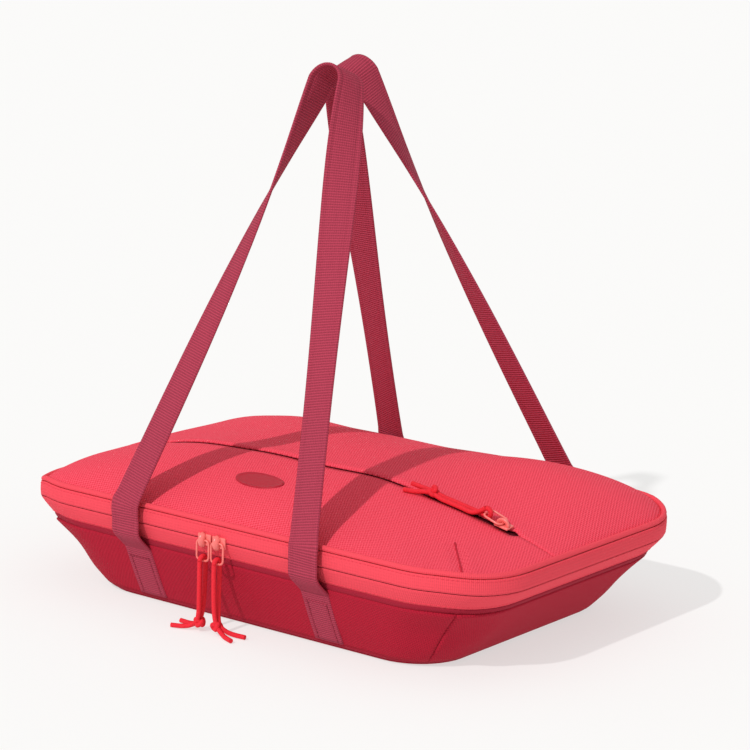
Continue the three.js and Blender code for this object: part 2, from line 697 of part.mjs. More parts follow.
// The bridge stands on the plate as an arch with its hole along X.
function sliderBridge() {
  const hole = WIRE_RADIUS + WIRE_PLAY;
  const plateFace = -CLEARANCE - SLIDER_PLATE;
  const crown = WIRE_REACH + hole + BRIDGE_WALL;
  const half = new THREE.Vector3(BRIDGE_WIDTH / 2, 0, BRIDGE_HEIGHT / 2);
  const block = boxBetween(
    new THREE.Vector3(-half.x, -crown, -half.z),
    new THREE.Vector3(half.x, plateFace + SLIDER_PLATE / 2, half.z),
  );
  const eye = new THREE.CylinderGeometry(hole, hole, 2 * BRIDGE_WIDTH, ROUND_SIDES);
  eye.rotateZ(Math.PI / 2).translate(0, -WIRE_REACH, 0);
  return toSolid(block).subtract(toSolid(eye));
}

function sliderNeck(reach) {
  return boxBetween(
    new THREE.Vector3(-NECK_LENGTH / 2, -CLEARANCE - SLIDER_PLATE / 2, -NECK_THICKNESS / 2),
    new THREE.Vector3(NECK_LENGTH / 2, reach, NECK_THICKNESS / 2),
  );
}

// A closed wire loop whose upper bar lies on the X axis and which hangs towards -Z.
function pullerGeometry() {
  const shape = roundedRectangle(PULLER_WIDTH, PULLER_LENGTH, PULLER_CORNER);
  const line = shape.getPoints(4);
  line.pop();
  const rings = line.map((point, i) => {
    const before = line.at(i - 1);
    const after = line[(i + 1) % line.length];
    const outward = new THREE.Vector3(after.y - before.y, 0, before.x - after.x).normalize();
    const ring = [];
    for (let k = 0; k < ROUND_SIDES; k++) {
      const angle = ((k + 0.5) / ROUND_SIDES) * 2 * Math.PI;
      const centre = new THREE.Vector3(point.x, 0, point.y - PULLER_LENGTH / 2);
      centre.addScaledVector(outward, WIRE_RADIUS * Math.cos(angle));
      centre.y += WIRE_RADIUS * Math.sin(angle);
      ring.push(centre);
    }
    return ring;
  });
  return loft(rings, true);
}

// A limp cord along a list of points.
function cordGeometry(points, steps) {
  const path = new THREE.CatmullRomCurve3(points.map((point) => new THREE.Vector3(...point)));
  const round = new THREE.Shape();
  for (let k = 0; k < CORD_SIDES; k++) {
    const angle = (k / CORD_SIDES) * 2 * Math.PI;
    const [x, y] = [CORD / 2 * Math.cos(angle), CORD / 2 * Math.sin(angle)];
    if (k === 0) {
      round.moveTo(x, y);
    } else {
      round.lineTo(x, y);
    }
  }
  round.closePath();
  return new THREE.ExtrudeGeometry(round, { steps, extrudePath: path, bevelEnabled: false });
}

// An overhand knot with the two loose tails of the cord.
function knotGeometry(centre, tails) {
  const ball = new THREE.SphereGeometry(KNOT / 2, 10, 8).translate(...centre);
  let knot = toSolid(ball);
  for (const tail of tails) {
    knot = knot.add(toSolid(cordGeometry([centre, ...tail], 6)));
  }
  return toGeometry(knot);
}

// The right-hand pull: its cord goes round the lower bar of the puller, hangs in front of the tub and
// ends in a knot that rests near the floor. The left-hand one is its mirror image. Its x is counted from
// where the sliders meet.
const PULL_CORD = [
  [7.2, -148, 11.8], [6.9, -148.3, 22], [6.7, -148.6, 34], [6.6, -148.7, 45], [6.6, -148.7, 51.6],
  [6.6, -147.9, 54.4], [6.6, -145.6, 55.6], [6.6, -143.3, 54.4], [6.6, -142.5, 51.6], [6.6, -142.5, 45],
  [6.7, -142.8, 34], [6.9, -143.2, 22], [7.2, -143.9, 11.8],
];
const PULL_KNOT = [8, -146, 6.6];
const PULL_TAILS = [
  [[14, -149.5, 3.6], [20, -152, 2.4], [28, -154, 2.2]],
  [[14, -143.5, 3.8], [21, -142, 2.5], [30, -141, 2.2]],
];

function addZipPulls() {
  const face = -RIM_WIDTH / 2;
  const innerFace = outlineAt(ZIP_LOW - COIL).halfWidth - COIL_INNER - CLEARANCE;
  const reach = RIM_WIDTH / 2 - innerFace;
  const innerPlate = boxBetween(
    new THREE.Vector3(-SLIDER_LENGTH / 2, reach, -INNER_PLATE_HEIGHT / 2),
    new THREE.Vector3(SLIDER_LENGTH / 2, reach + INNER_PLATE, INNER_PLATE_HEIGHT / 2),
  );
  const body = toSolid(sliderPlate())
    .add(sliderBridge())
    .add(toSolid(sliderNeck(reach + INNER_PLATE / 2)))
    .add(toSolid(innerPlate));
  for (const [hand, side] of [['left', -1], ['right', 1]]) {
    const x = SLIDERS_MEET_X + side * SLIDER_SPACING / 2;
    const slider = addPart(`zip_slider_${hand}`, toGeometry(body), SLIDER_PINK, 0.35, 0.1);
    slider.position.set(x, face, ZIP_HEIGHT);
    const puller = addPart(`zip_puller_${hand}`, pullerGeometry(), SLIDER_PINK, 0.35, 0.1);
    puller.position.set(x, face - WIRE_REACH, ZIP_HEIGHT);
    const turn = ([off, y, z]) => [SLIDERS_MEET_X + side * off, y, z];
    addPart(`pull_cord_${hand}`, cordGeometry(PULL_CORD.map(turn), 30), CORD_RED);
    const tails = PULL_TAILS.map((tail) => tail.map(turn));
    addPart(`pull_knot_${hand}`, knotGeometry(turn(PULL_KNOT), tails), CORD_RED);
  }
}

// The pocket's slider lies on the dome with its puller and cord laid to the left along the slit. The
// cord lies on the cloth as two strands, and its bend goes round the far bar of the puller.
const STRAND_LIFT = CORD / 2 + 2 * CLEARANCE;
const STRAND_SPREAD = CORD / 2 + CLEARANCE;
const BEND_RADIUS = CORD / 2 + WIRE_RADIUS + 2 * CLEARANCE;
const STRAND_STEPS = 4;
const KNOT_GAP = 4.2;
const BEND_LEAD = 12;

// Tails of the pocket's knot: steps along X and Y from the knot and the height over the dome.
const POCKET_TAILS = [
  [[-6, -3, 3.2], [-12, -6, 2.6], [-20, -9, 2.6]],
  [[-7, 2, 3.3], [-14, 3.5, 2.6], [-22, 4, 2.6]],
];

function onDome(x, y, lift) {
  return [x, y, domeHeight(x, y) + lift];
}

function addPocketPull() {
  const step = SLIDER_LENGTH / 2;
  const height = domeHeight(POCKET_SLIDER_X, POCKET_Y);
  const slope = (domeHeight(POCKET_SLIDER_X + step, POCKET_Y) - height) / step;
  const sideSlope = (domeHeight(POCKET_SLIDER_X, POCKET_Y + step) - height) / step;
  const along = new THREE.Vector3(1, 0, slope).normalize();
  const inward = new THREE.Vector3(0, 1, sideSlope).cross(along).normalize();
  const across = new THREE.Vector3().crossVectors(along, inward);
  const frame = new THREE.Group();
  frame.quaternion.setFromRotationMatrix(new THREE.Matrix4().makeBasis(along, inward, across));
  const seat = new THREE.Vector3(POCKET_SLIDER_X, POCKET_Y, height);
  seat.addScaledVector(inward, -POCKET_SLIDER_LIFT);
  frame.position.copy(seat);
  carrier.add(frame);
  const bridge = toGeometry(sliderBridge()).rotateY(Math.PI / 2);
  const body = toSolid(sliderPlate())
    .add(toSolid(bridge))
    .add(toSolid(sliderNeck(POCKET_SLIDER_LIFT + FABRIC / 2)));
  const slider = addPart('pocket_slider', toGeometry(body), SLIDER_PINK, 0.35, 0.1);
  frame.add(slider);
  const puller = addPart('pocket_puller', pullerGeometry().rotateY(Math.PI / 2), SLIDER_PINK, 0.35, 0.1);
  puller.position.set(0, -WIRE_REACH, 0);
  const barLift = STRAND_LIFT + BEND_RADIUS;
  const tilt = Math.asin((barLift - WIRE_REACH) / PULLER_LENGTH);
  puller.rotation.z = tilt;
  frame.add(puller);

  const barReach = PULLER_LENGTH * Math.cos(tilt);
  const overSlope = (reach, lift, aside) => seat.clone()
    .addScaledVector(along, reach - barReach)
    .addScaledVector(inward, -lift)
    .addScaledVector(across, aside)
    .toArray();
  const bend = [];
  for (const turn of [135, 90, 45, 0, -45, -90]) {
    const angle = THREE.MathUtils.degToRad(turn);
    bend.push(overSlope(BEND_RADIUS * Math.cos(angle), barLift + BEND_RADIUS * Math.sin(angle), 0));
  }
  const knotX = POCKET_SLIDER_X - POCKET_KNOT_REACH;
  const strandStart = knotX + KNOT_GAP;
  const strandEnd = overSlope(-BEND_LEAD, 0, 0)[0];
  const strand = (side) => Array.from({ length: STRAND_STEPS + 1 }, (_, k) => onDome(
    THREE.MathUtils.lerp(strandStart, strandEnd, k / STRAND_STEPS),
    POCKET_Y + side * STRAND_SPREAD,
    STRAND_LIFT,
  ));
  const climb = overSlope(-BEND_LEAD / 2, barLift, -STRAND_SPREAD / 2);
  const dip = overSlope(-BEND_LEAD / 2, STRAND_LIFT, STRAND_SPREAD / 2);
  const line = [...strand(-1), climb, ...bend, dip, ...strand(1).reverse()];
  addPart('pocket_cord', cordGeometry(line, 36), CORD_RED);
  const tails = POCKET_TAILS.map((tail) => tail.map(([x, y, lift]) => onDome(knotX + x, POCKET_Y + y, lift)));
  addPart('pocket_knot', knotGeometry(onDome(knotX, POCKET_Y, KNOT / 2 + CLEARANCE), tails), CORD_RED);
}

addBase();
addWalls();
addZipBand();
addLid();
addStraps();
addZipPulls();
addPocketPull();

export default carrier;
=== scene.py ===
"""Soft casserole carrier: the look of the fabric, webbing, zips and cords on the frame of the part."""

import math

import bpy
from mathutils import Matrix, Vector


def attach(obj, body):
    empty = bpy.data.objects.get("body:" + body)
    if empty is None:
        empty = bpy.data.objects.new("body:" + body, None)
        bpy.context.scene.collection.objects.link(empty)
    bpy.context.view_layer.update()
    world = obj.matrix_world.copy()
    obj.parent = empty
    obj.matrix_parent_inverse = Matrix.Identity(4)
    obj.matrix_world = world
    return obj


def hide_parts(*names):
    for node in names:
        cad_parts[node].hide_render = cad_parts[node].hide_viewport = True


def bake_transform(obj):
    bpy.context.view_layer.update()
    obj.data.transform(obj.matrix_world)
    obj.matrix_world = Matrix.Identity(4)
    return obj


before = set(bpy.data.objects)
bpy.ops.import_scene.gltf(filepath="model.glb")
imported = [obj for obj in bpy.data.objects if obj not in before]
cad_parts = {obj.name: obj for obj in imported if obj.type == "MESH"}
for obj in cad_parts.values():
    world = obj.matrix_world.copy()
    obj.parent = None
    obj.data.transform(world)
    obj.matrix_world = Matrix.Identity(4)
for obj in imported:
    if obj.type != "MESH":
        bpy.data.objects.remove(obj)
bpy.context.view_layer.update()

MM = 0.001

# Sizes of the part, in millimetres: the tub
RIM_LENGTH = 430
RIM_WIDTH = 285
RIM_RADIUS = 63
BASE_LENGTH = 314
BASE_WIDTH = 222
BASE_RADIUS = 40
BINDING_FOOT = 48.7
WELT_CENTRE = 3.8
LINING_INSET = 8.1
FLOOR_TOP = 10.4
LEFT_DROOP = 8.5
RIGHT_DROOP = 3
DROOP_START = 177
DROOP_FOOT = 12

# The zip band
ZIP_HEIGHT = 67.4
ZIP_LOW = 66.8
ZIP_HIGH = 68.0
BAND_FOOT = 55.0
BAND_TOP = 78.4
PIPING_CENTRE = 80.7

# The lid and its pocket
LID_EDGE = 80.2
LID_INSET = 4.3
LID_RISE = 29.5
LID_BACK_RAISE = 18
LID_FRONT_SLUMP = 42
SLUMP_START = 20
SLUMP_BACK = 70
SLUMP_FRONT = -110
LID_PLATEAU_POWER = 2.13
LID_SHOULDER_POWER = 0.8
LID_HALF_X = RIM_LENGTH / 2 - LID_INSET
LID_HALF_Y = RIM_WIDTH / 2 - LID_INSET
LID_RADIUS = RIM_RADIUS - LID_INSET
POCKET_Y = -40
POCKET_LEFT = -150
POCKET_RIGHT = 180
POCKET_SLIDER_X = 166
POCKET_SLIDER_LIFT = 0.8
BADGE_X = -15
BADGE_Y = -88
BADGE_LENGTH = 42
BADGE_WIDTH = 20

# The webbing
STRAP = 2.2
STRAP_X = 82
FRONT_STRAPS_MIDDLE = -8
BACK_STRAPS_MIDDLE = 8
STITCH_HEIGHT = 44
BAND_STRAP_Y = -148.1
LEG_FOOT = 82.4
HANDLE_HEIGHT = 394
FRONT_APEX_X = -6
BACK_APEX_X = -27
HANDLE_APEX_Y = 18
HANDLE_FOLD_RADIUS = 13.5
HANDLE_TURN = math.radians(13)
HANDLE_TURN_POWER = 0.25
HANDLE_TWIST_POWER = 2.9

# The sliders, pullers and cords
SLIDER_X = 6.6
SLIDERS_MEET_X = -12
SLIDER_FACE = -142.5
WIRE_REACH = 3.1
WIRE = 0.8
PULLER_WIDTH = 11
PULLER_LENGTH = 15
CORD = 3.5


def new_object(name, data):
    piece = bpy.data.objects.new(name, data)
    bpy.context.scene.collection.objects.link(piece)
    return piece


# Camera. Its target and distance are in metres.
CAMERA_AZIMUTH = math.radians(37.44)
CAMERA_ELEVATION = math.radians(15.28)
CAMERA_ROLL = math.radians(1.64)
CAMERA_DISTANCE = 2.2
CAMERA_TARGET = Vector((0, 0, 0.06))
CAMERA_LENS = 141.9
CAMERA_SENSOR = 36
CAMERA_AIM = (0.008606, 0.047455)


def add_camera():
    a, e, r = CAMERA_AZIMUTH, CAMERA_ELEVATION, CAMERA_ROLL
    back = Vector((math.sin(a) * math.cos(e), -math.cos(a) * math.cos(e), math.sin(e)))
    level = Vector((math.cos(a), math.sin(a), 0))
    rise = back.cross(level)
    right = level * math.cos(r) + rise * math.sin(r)
    up = rise * math.cos(r) - level * math.sin(r)
    forward = (right * CAMERA_AIM[0] + up * CAMERA_AIM[1] - back).normalized()
    side = (right - forward * right.dot(forward)).normalized()
    top = side.cross(forward)
    data = bpy.data.cameras.new("Camera")
    data.lens = CAMERA_LENS
    data.sensor_width = CAMERA_SENSOR
    camera = new_object("Camera", data)
    axes = Matrix((side, top, -forward)).transposed()
    camera.matrix_world = Matrix.Translation(back * CAMERA_DISTANCE + CAMERA_TARGET) @ axes.to_4x4()
    bpy.context.scene.camera = camera


add_camera()


# Materials
CLOTH_GLOSS = 0.12
CLOTH_BUMP = 0.6
YARN_SCALE = 900
YARN_DETAIL = 2
GRAIN_BUMP = 0.5
GRAIN_DETAIL = 3
GLOSS_SPREAD = 0.2


def linear(colour):
    """A screen colour as linear light."""
    return tuple(c / 12.92 if c <= 0.04045 else ((c + 0.055) / 1.055) ** 2.4 for c in colour)


def shade(colour, share):
    return tuple(min(1.0, c * share) for c in linear(colour)) + (1.0,)


def new_material(name, colour, roughness, specular):
    material = bpy.data.materials.new(name)
    material.use_nodes = True
    shader = material.node_tree.nodes["Principled BSDF"]
    shader.inputs["Base Color"].default_value = shade(colour, 1)
    shader.inputs["Roughness"].default_value = roughness
    shader.inputs["Specular IOR Level"].default_value = specular
    return material, shader


def maths(tree, operation, first, second=None):
    node = tree.nodes.new("ShaderNodeMath")
    node.operation = operation
    for socket, value in zip(node.inputs, (first, second)):
        if value is None:
            continue
        if isinstance(value, (int, float)):
            socket.default_value = value
        else:
            tree.links.new(value, socket)
    return node.outputs[0]


def noise(tree, place, scale, detail):
    node = tree.nodes.new("ShaderNodeTexNoise")
    node.inputs["Scale"].default_value = scale
    node.inputs["Detail"].default_value = detail
    tree.links.new(place, node.inputs["Vector"])
    return node.outputs[0]


def two_tone(tree, shader, factor, low, high):
    """Colour a surface between two shades."""
    mix = tree.nodes.new("ShaderNodeMix")
    mix.data_type = "RGBA"
    mix.inputs["A"].default_value = low
    mix.inputs["B"].default_value = high
    tree.links.new(factor, mix.inputs["Factor"])
    tree.links.new(mix.outputs["Result"], shader.inputs["Base Color"])


def emboss(tree, shader, height, strength, relief):
    bump = tree.nodes.new("ShaderNodeBump")
    bump.inputs["Strength"].default_value = strength
    bump.inputs["Distance"].default_value = relief * MM
    tree.links.new(height, bump.inputs["Height"])
    tree.links.new(bump.outputs[0], shader.inputs["Normal"])


def thread_wave(tree, u, v, direction, pitch):
    """A wave across the cloth, one per thread."""
    turn = 2 * math.pi / (pitch * MM)
    along = maths(tree, "MULTIPLY", u, direction[0] * turn)
    across = maths(tree, "MULTIPLY", v, direction[1] * turn)
    return maths(tree, "SINE", maths(tree, "ADD", along, across))


def woven(name, colour, waves, contrast, relief, roughness=0.8, raised=None, slub=1.4):
    """Cloth whose threads lie along its own length and width. Each wave is (direction, pitch, share).

    raised is the colour of the threads that stand up, where it differs, and slub how uneven they are.
    """
    material, shader = new_material(name, colour, roughness, CLOTH_GLOSS)
    tree = material.node_tree
    cloth = tree.nodes.new("ShaderNodeUVMap")
    cloth.uv_map = "cloth"
    place = tree.nodes.new("ShaderNodeSeparateXYZ")
    tree.links.new(cloth.outputs[0], place.inputs[0])
    height = None
    for direction, pitch, share in waves:
        threads = thread_wave(tree, place.outputs[0], place.outputs[1], direction, pitch)
        wave = maths(tree, "MULTIPLY", threads, share)
        height = wave if height is None else maths(tree, "ADD", height, wave)
    yarn = noise(tree, cloth.outputs[0], YARN_SCALE, YARN_DETAIL)
    uneven = maths(tree, "MULTIPLY", maths(tree, "SUBTRACT", yarn, 0.5), slub)
    height = maths(tree, "ADD", height, uneven)
    level = maths(tree, "ADD", maths(tree, "MULTIPLY", height, 0.5), 0.5)
    two_tone(tree, shader, level, shade(colour, 1 - contrast), shade(raised or colour, 1 + contrast))
    emboss(tree, shader, height, CLOTH_BUMP, relief)
    return material


def grained(name, colour, roughness, specular, scale, contrast, relief):
    """A moulded, painted or twisted surface with a fine grain in its colour, gloss and relief."""
    material, shader = new_material(name, colour, roughness, specular)
    tree = material.node_tree
    place = tree.nodes.new("ShaderNodeTexCoord")
    grain = noise(tree, place.outputs["Object"], scale, GRAIN_DETAIL)
    two_tone(tree, shader, grain, shade(colour, 1 - contrast), shade(colour, 1 + contrast))
    gloss = maths(tree, "ADD", maths(tree, "MULTIPLY", grain, GLOSS_SPREAD), roughness - GLOSS_SPREAD / 2)
    tree.links.new(gloss, shader.inputs["Roughness"])
    emboss(tree, shader, grain, GRAIN_BUMP, relief)
    return material


def sewing_thread(name, colour, contrast=0.2):
    return grained(name, colour, roughness=0.7, specular=0.1, scale=2500, contrast=contrast, relief=0.15)


SHELL = woven(
    "shell_fabric", (0.67, 0.10, 0.19), [((0.8, 0.6), 1.7, 0.55), ((-0.6, 0.8), 2.1, 0.4)],
    contrast=0.14, relief=0.3, slub=2.4,
)
BINDING = woven("binding_fabric", (0.62, 0.12, 0.20), [((0.7, 0.7), 1.2, 1)], contrast=0.10, relief=0.2)
LID = woven(
    "lid_fabric", (0.90, 0.21, 0.28), [((0.89, 0.46), 1.9, 0.5), ((-0.46, 0.89), 2.3, 0.45)],
    contrast=0.11, relief=0.3, raised=(0.93, 0.33, 0.405), slub=2.6,
)
BAND = woven(
    "band_fabric", (0.92, 0.29, 0.345), [((1, 0), 1.4, 0.8), ((0, 1), 2.2, 0.3)],
    contrast=0.09, relief=0.22, slub=2.0,
)
WEBBING = woven(
    "webbing", (0.66, 0.23, 0.31), [((0, 1), 1.9, 0.9), ((1, 0), 1.6, 0.3)], contrast=0.24, relief=0.5,
)
LINING = woven(
    "lining", (0.79, 0.80, 0.82), [((1, 0), 24, 0.5), ((0, 1), 24, 0.5)],
    contrast=0.05, relief=0.8, roughness=0.45,
)
BRAID = grained(
    "cord", (0.88, 0.17, 0.22), roughness=0.75, specular=0.12, scale=1100, contrast=0.35, relief=0.4,
)
PATCH = grained(
    "badge", (0.68, 0.12, 0.19), roughness=0.5, specular=0.2, scale=1200, contrast=0.22, relief=0.25,
)
PAINT = grained(
    "slider_paint", (0.93, 0.45, 0.43), roughness=0.3, specular=0.5, scale=500, contrast=0.12, relief=0.08,
)
COIL = grained(
    "zip_coil", (0.30, 0.04, 0.08), roughness=0.6, specular=0.1, scale=1600, contrast=0.3, relief=0.3,
)
THREAD = sewing_thread("thread", (0.55, 0.10, 0.18))
LID_THREAD = sewing_thread("lid_thread", (0.90, 0.27, 0.34), 0.12)
STRAP_THREAD = sewing_thread("strap_thread", (0.62, 0.19, 0.27))
# The dart's line is darker red than the lid: partly its seam thread, partly painted shade of the dart's
# crease.
DART_SEAM_AND_SHADE = sewing_thread("dart_seam_and_shade", (0.74, 0.15, 0.22))


# Meshes
ALONG_NORMAL = 1.0
AGAINST_NORMAL = -1.0


def finish_piece(piece, material, body, nodes=()):
    piece.data.materials.append(material)
    if body:
        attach(piece, body)
    if nodes:
        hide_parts(*nodes)


def new_mesh(name, points, faces, corners=None):
    """A mesh from points in millimetres. corners holds the place on the cloth of each face's corners."""
    data = bpy.data.meshes.new(name)
    data.from_pydata([[c * MM for c in p] for p in points], [], faces)
    layer = data.uv_layers.new(name="cloth")
    if corners:
        flat = [c * MM for corner in corners for c in corner]
        layer.data.foreach_set("uv", flat)
    for polygon in data.polygons:
        polygon.use_smooth = True
    return new_object(name, data)


def cloth_grid(name, rows, us, vs, wrap=False, around=False, caps=False, closing=False):
    """Rows of points joined to a surface. wrap closes each row, around joins the last row to the first.

    caps fills the first and last rows, closing the last row alone.
    """
    count = len(rows[0])
    points = [p for row in rows for p in row]
    faces, corners = [], []
    for r in range(len(rows) if around else len(rows) - 1):
        after = (r + 1) % len(rows)
        for c in range(count if wrap else count - 1):
            beside = (c + 1) % count
            faces.append((r * count + c, r * count + beside, after * count + beside, after * count + c))
            corners += [(us[c], vs[r]), (us[c + 1], vs[r]), (us[c + 1], vs[r + 1]), (us[c], vs[r + 1])]
    if caps:
        faces.append(tuple(range(count - 1, -1, -1)))
        corners += [(0, 0)] * count
    if caps or closing:
        last = (len(rows) - 1) * count
        faces.append(tuple(range(last, last + count)))
        corners += [(0, 0)] * count
    return new_mesh(name, points, faces, corners)


def lay_flat(piece):
    """Lay the cloth's threads along X and Y, as seen from above."""
    layer = piece.data.uv_layers["cloth"]
    for loop in piece.data.loops:
        layer.data[loop.index].uv = piece.data.vertices[loop.vertex_index].co.xy


def spread(a, b, steps):
    """Values from a to b in even steps, without b."""
    return [a + (b - a) * k / steps for k in range(steps)]


def evenly(a, b, steps):
    return spread(a, b, steps) + [b]


def full_turn(steps):
    return spread(0, 2 * math.pi, steps)


def distances(points):
    total = [0.0]
    for a, b in zip(points, points[1:]):
        total.append(total[-1] + (Vector(b) - Vector(a)).length)
    return total


def thicken(piece, thickness, offset):
    modifier = piece.modifiers.new("thickness", "SOLIDIFY")
    modifier.thickness = thickness * MM
    modifier.offset = offset
    modifier.use_even_offset = False


def join_curve(points, steps):
    """A smooth line through points, with steps to each span."""
    path = [Vector(p) for p in points]
    padded = [path[0] * 2 - path[1]] + path + [path[-1] * 2 - path[-2]]
    line = []
    for a, b, c, d in zip(padded, padded[1:], padded[2:], padded[3:]):
        for k in range(steps):
            t = k / steps
            second = (2 * a - 5 * b + 4 * c - d) * t * t
            third = (3 * b - a - 3 * c + d) * t ** 3
            line.append(0.5 * (2 * b + (c - a) * t + second + third))
    line.append(path[-1])
    return line


def tube(name, line, radius, sides=10, closed=False, flat=1.0):
    """A round bar along a line of points. flat widens its section one way."""
    count = len(line)
    turns = full_turn(sides)
    rows = []
    normal = None
    for i, point in enumerate(line):
        before = line[i - 1] if closed or i else point
        after = line[(i + 1) % count] if closed or i < count - 1 else point
        along = (Vector(after) - Vector(before)).normalized()
        if normal is None:
            normal = along.orthogonal()
        normal = (normal - along * normal.dot(along)).normalized()
        other = along.cross(normal)
        spokes = [normal * math.cos(t) + other * flat * math.sin(t) for t in turns]
        rows.append([Vector(point) + radius * spoke for spoke in spokes])
    vs = distances(list(line) + [line[0]])
    us = evenly(0, 2 * math.pi * radius, sides)
    return cloth_grid(name, rows, us, vs, wrap=True, around=closed, caps=not closed)


# Outline of the carrier
SIDE_STEPS = 24
END_STEPS = 22
CORNER_TURNS = (0, 9, 18, 27, 34, 39, 42, 43.7, 45, 46.3, 48, 51, 56, 63, 72, 81, 90)
CORNER_STEPS = len(CORNER_TURNS) - 1


def flared(base, rim, z):
    """A size of the tub at a height, between those of its base and its rim."""
    return base + (rim - base) * min(z / ZIP_HEIGHT, 1)


def outline(z, inset=0.0):
    """Points (x, y, nx, ny) round the carrier at a height, from the middle of the back towards the left."""
    half_x = flared(BASE_LENGTH, RIM_LENGTH, z) / 2 - inset
    half_y = flared(BASE_WIDTH, RIM_WIDTH, z) / 2 - inset
    radius = flared(BASE_RADIUS, RIM_RADIUS, z) - inset
    x, y = half_x - radius, half_y - radius
    ring = []

    def corner(cx, cy, start):
        for turn in CORNER_TURNS[:-1]:
            angle = math.radians(start + turn)
            nx, ny = math.cos(angle), math.sin(angle)
            ring.append((cx + radius * nx, cy + radius * ny, nx, ny))

    ring += [(p, half_y, 0, 1) for p in spread(0, -x, SIDE_STEPS)]
    corner(-x, y, 90)
    ring += [(-half_x, p, -1, 0) for p in spread(y, -y, END_STEPS)]
    corner(-x, -y, 180)
    ring += [(p, -half_y, 0, -1) for p in spread(-x, x, 2 * SIDE_STEPS)]
    corner(x, -y, 270)
    ring += [(half_x, p, 1, 0) for p in spread(-y, y, END_STEPS)]
    corner(x, y, 0)
    ring += [(p, half_y, 0, 1) for p in spread(x, 0, SIDE_STEPS)]
    return ring


BASE_RING = outline(0)
RIM_RING = outline(ZIP_HEIGHT)
RIM_RUN = distances([p[:2] + (0,) for p in RIM_RING + RIM_RING[:1]])
RING = len(BASE_RING)
CORNERS = (
    SIDE_STEPS,
    SIDE_STEPS + END_STEPS + CORNER_STEPS,
    3 * SIDE_STEPS + END_STEPS + 2 * CORNER_STEPS,
    3 * SIDE_STEPS + 2 * END_STEPS + 3 * CORNER_STEPS,
)
SEAMS = [c + CORNER_TURNS.index(45) for c in CORNERS]
BACK_LEFT = SIDE_STEPS
BACK_RIGHT = RING - SIDE_STEPS


def smoothstep(low, high, value):
    t = min(max((value - low) / (high - low), 0), 1)
    return t * t * (3 - 2 * t)


def hump(value, width):
    """A smooth hump of height 1 about 0."""
    return math.exp(-((value / width) ** 2))


def end_droop(x):
    droop = LEFT_DROOP if x < 0 else RIGHT_DROOP
    return droop * smoothstep(DROOP_START, RIM_LENGTH / 2, abs(x))


def settled(x, z):
    """The height of a point of the walls, lowered with the soft end of the rim above it."""
    share = min(max((z - DROOP_FOOT) / (ZIP_HEIGHT - DROOP_FOOT), 0), 1)
    return z - share * end_droop(x / flared(BASE_LENGTH, RIM_LENGTH, z) * RIM_LENGTH)


def ring_band(name, section, first=0, last=None, closed_section=True, swell=None):
    """A band round the carrier. The section is a list of (z, how far inside the outline)."""
    whole = last is None
    picks = range(RING) if whole else range(first, last + 1)
    rows = []
    for z, inset in section:
        ring = outline(z)
        row = []
        for i in picks:
            x, y, nx, ny = ring[i % RING]
            out = (swell(i % RING, z) if swell else 0) - inset
            row.append((x + nx * out, y + ny * out, settled(x, z)))
        rows.append(row)
    us = RIM_RUN if whole else [RIM_RUN[i % RING] + RIM_RUN[-1] * (i // RING) for i in picks]
    vs = distances([(z, inset, 0) for z, inset in list(section) + [section[0]]])
    return cloth_grid(name, rows, us, vs, wrap=whole, around=closed_section)


def arc_section(z, inset, radius, turns=12, tall=1.0):
    return [(z + radius * tall * math.sin(a), inset - radius * math.cos(a)) for a in full_turn(turns)]


def flat_ring(ring, inset, z):
    """A ring of the outline moved inwards, at one height."""
    return [(x - nx * inset, y - ny * inset, z) for x, y, nx, ny in ring]


def settled_ring(z, inset):
    """The outline at a height, moved inwards and lowered with the soft ends of the rim."""
    return [(x - nx * inset, y - ny * inset, settled(x, z)) for x, y, nx, ny in outline(z)]


def closed_sheet(name, rows, cloth, normal):
    """Rings of points joined to a sheet that is closed in its middle, with its threads along X and Y."""
    sheet = cloth_grid(name, rows, [0] * (RING + 1), [0] * len(rows), wrap=True, closing=True)
    lay_flat(sheet)
    thicken(sheet, cloth, normal)
    return sheet


# Dome of the lid
def lid_share(x, y):
    """How far out a point of the lid lies, from 0 in the middle to 1 at the edge."""
    x, y = abs(x), abs(y)
    share = max(x / LID_HALF_X, y / LID_HALF_Y)
    cx, cy = LID_HALF_X - LID_RADIUS, LID_HALF_Y - LID_RADIUS
    if x > cx * share and y > cy * share:
        a = cx * cx + cy * cy - LID_RADIUS * LID_RADIUS
        b = x * cx + y * cy
        c = x * x + y * y
        share = c / (b + math.sqrt(max(b * b - a * c, 0)))
    return min(max(share, 0), 1)


def dome_height(x, y):
    to_right = smoothstep(SLUMP_START, RIM_LENGTH / 2, x)
    to_front = smoothstep(-SLUMP_BACK, -SLUMP_FRONT, -y)
    rise = LID_RISE + to_right * (LID_BACK_RAISE - LID_FRONT_SLUMP * to_front)
    shoulder = (1 - lid_share(x, y) ** LID_PLATEAU_POWER) ** LID_SHOULDER_POWER
    return LID_EDGE - end_droop(x) + rise * shoulder


def lid_edge_y(x):
    """Half the lid's width at a place along it."""
    beyond = max(abs(x) - (LID_HALF_X - LID_RADIUS), 0)
    return LID_HALF_Y - LID_RADIUS + math.sqrt(max(LID_RADIUS * LID_RADIUS - beyond * beyond, 0))


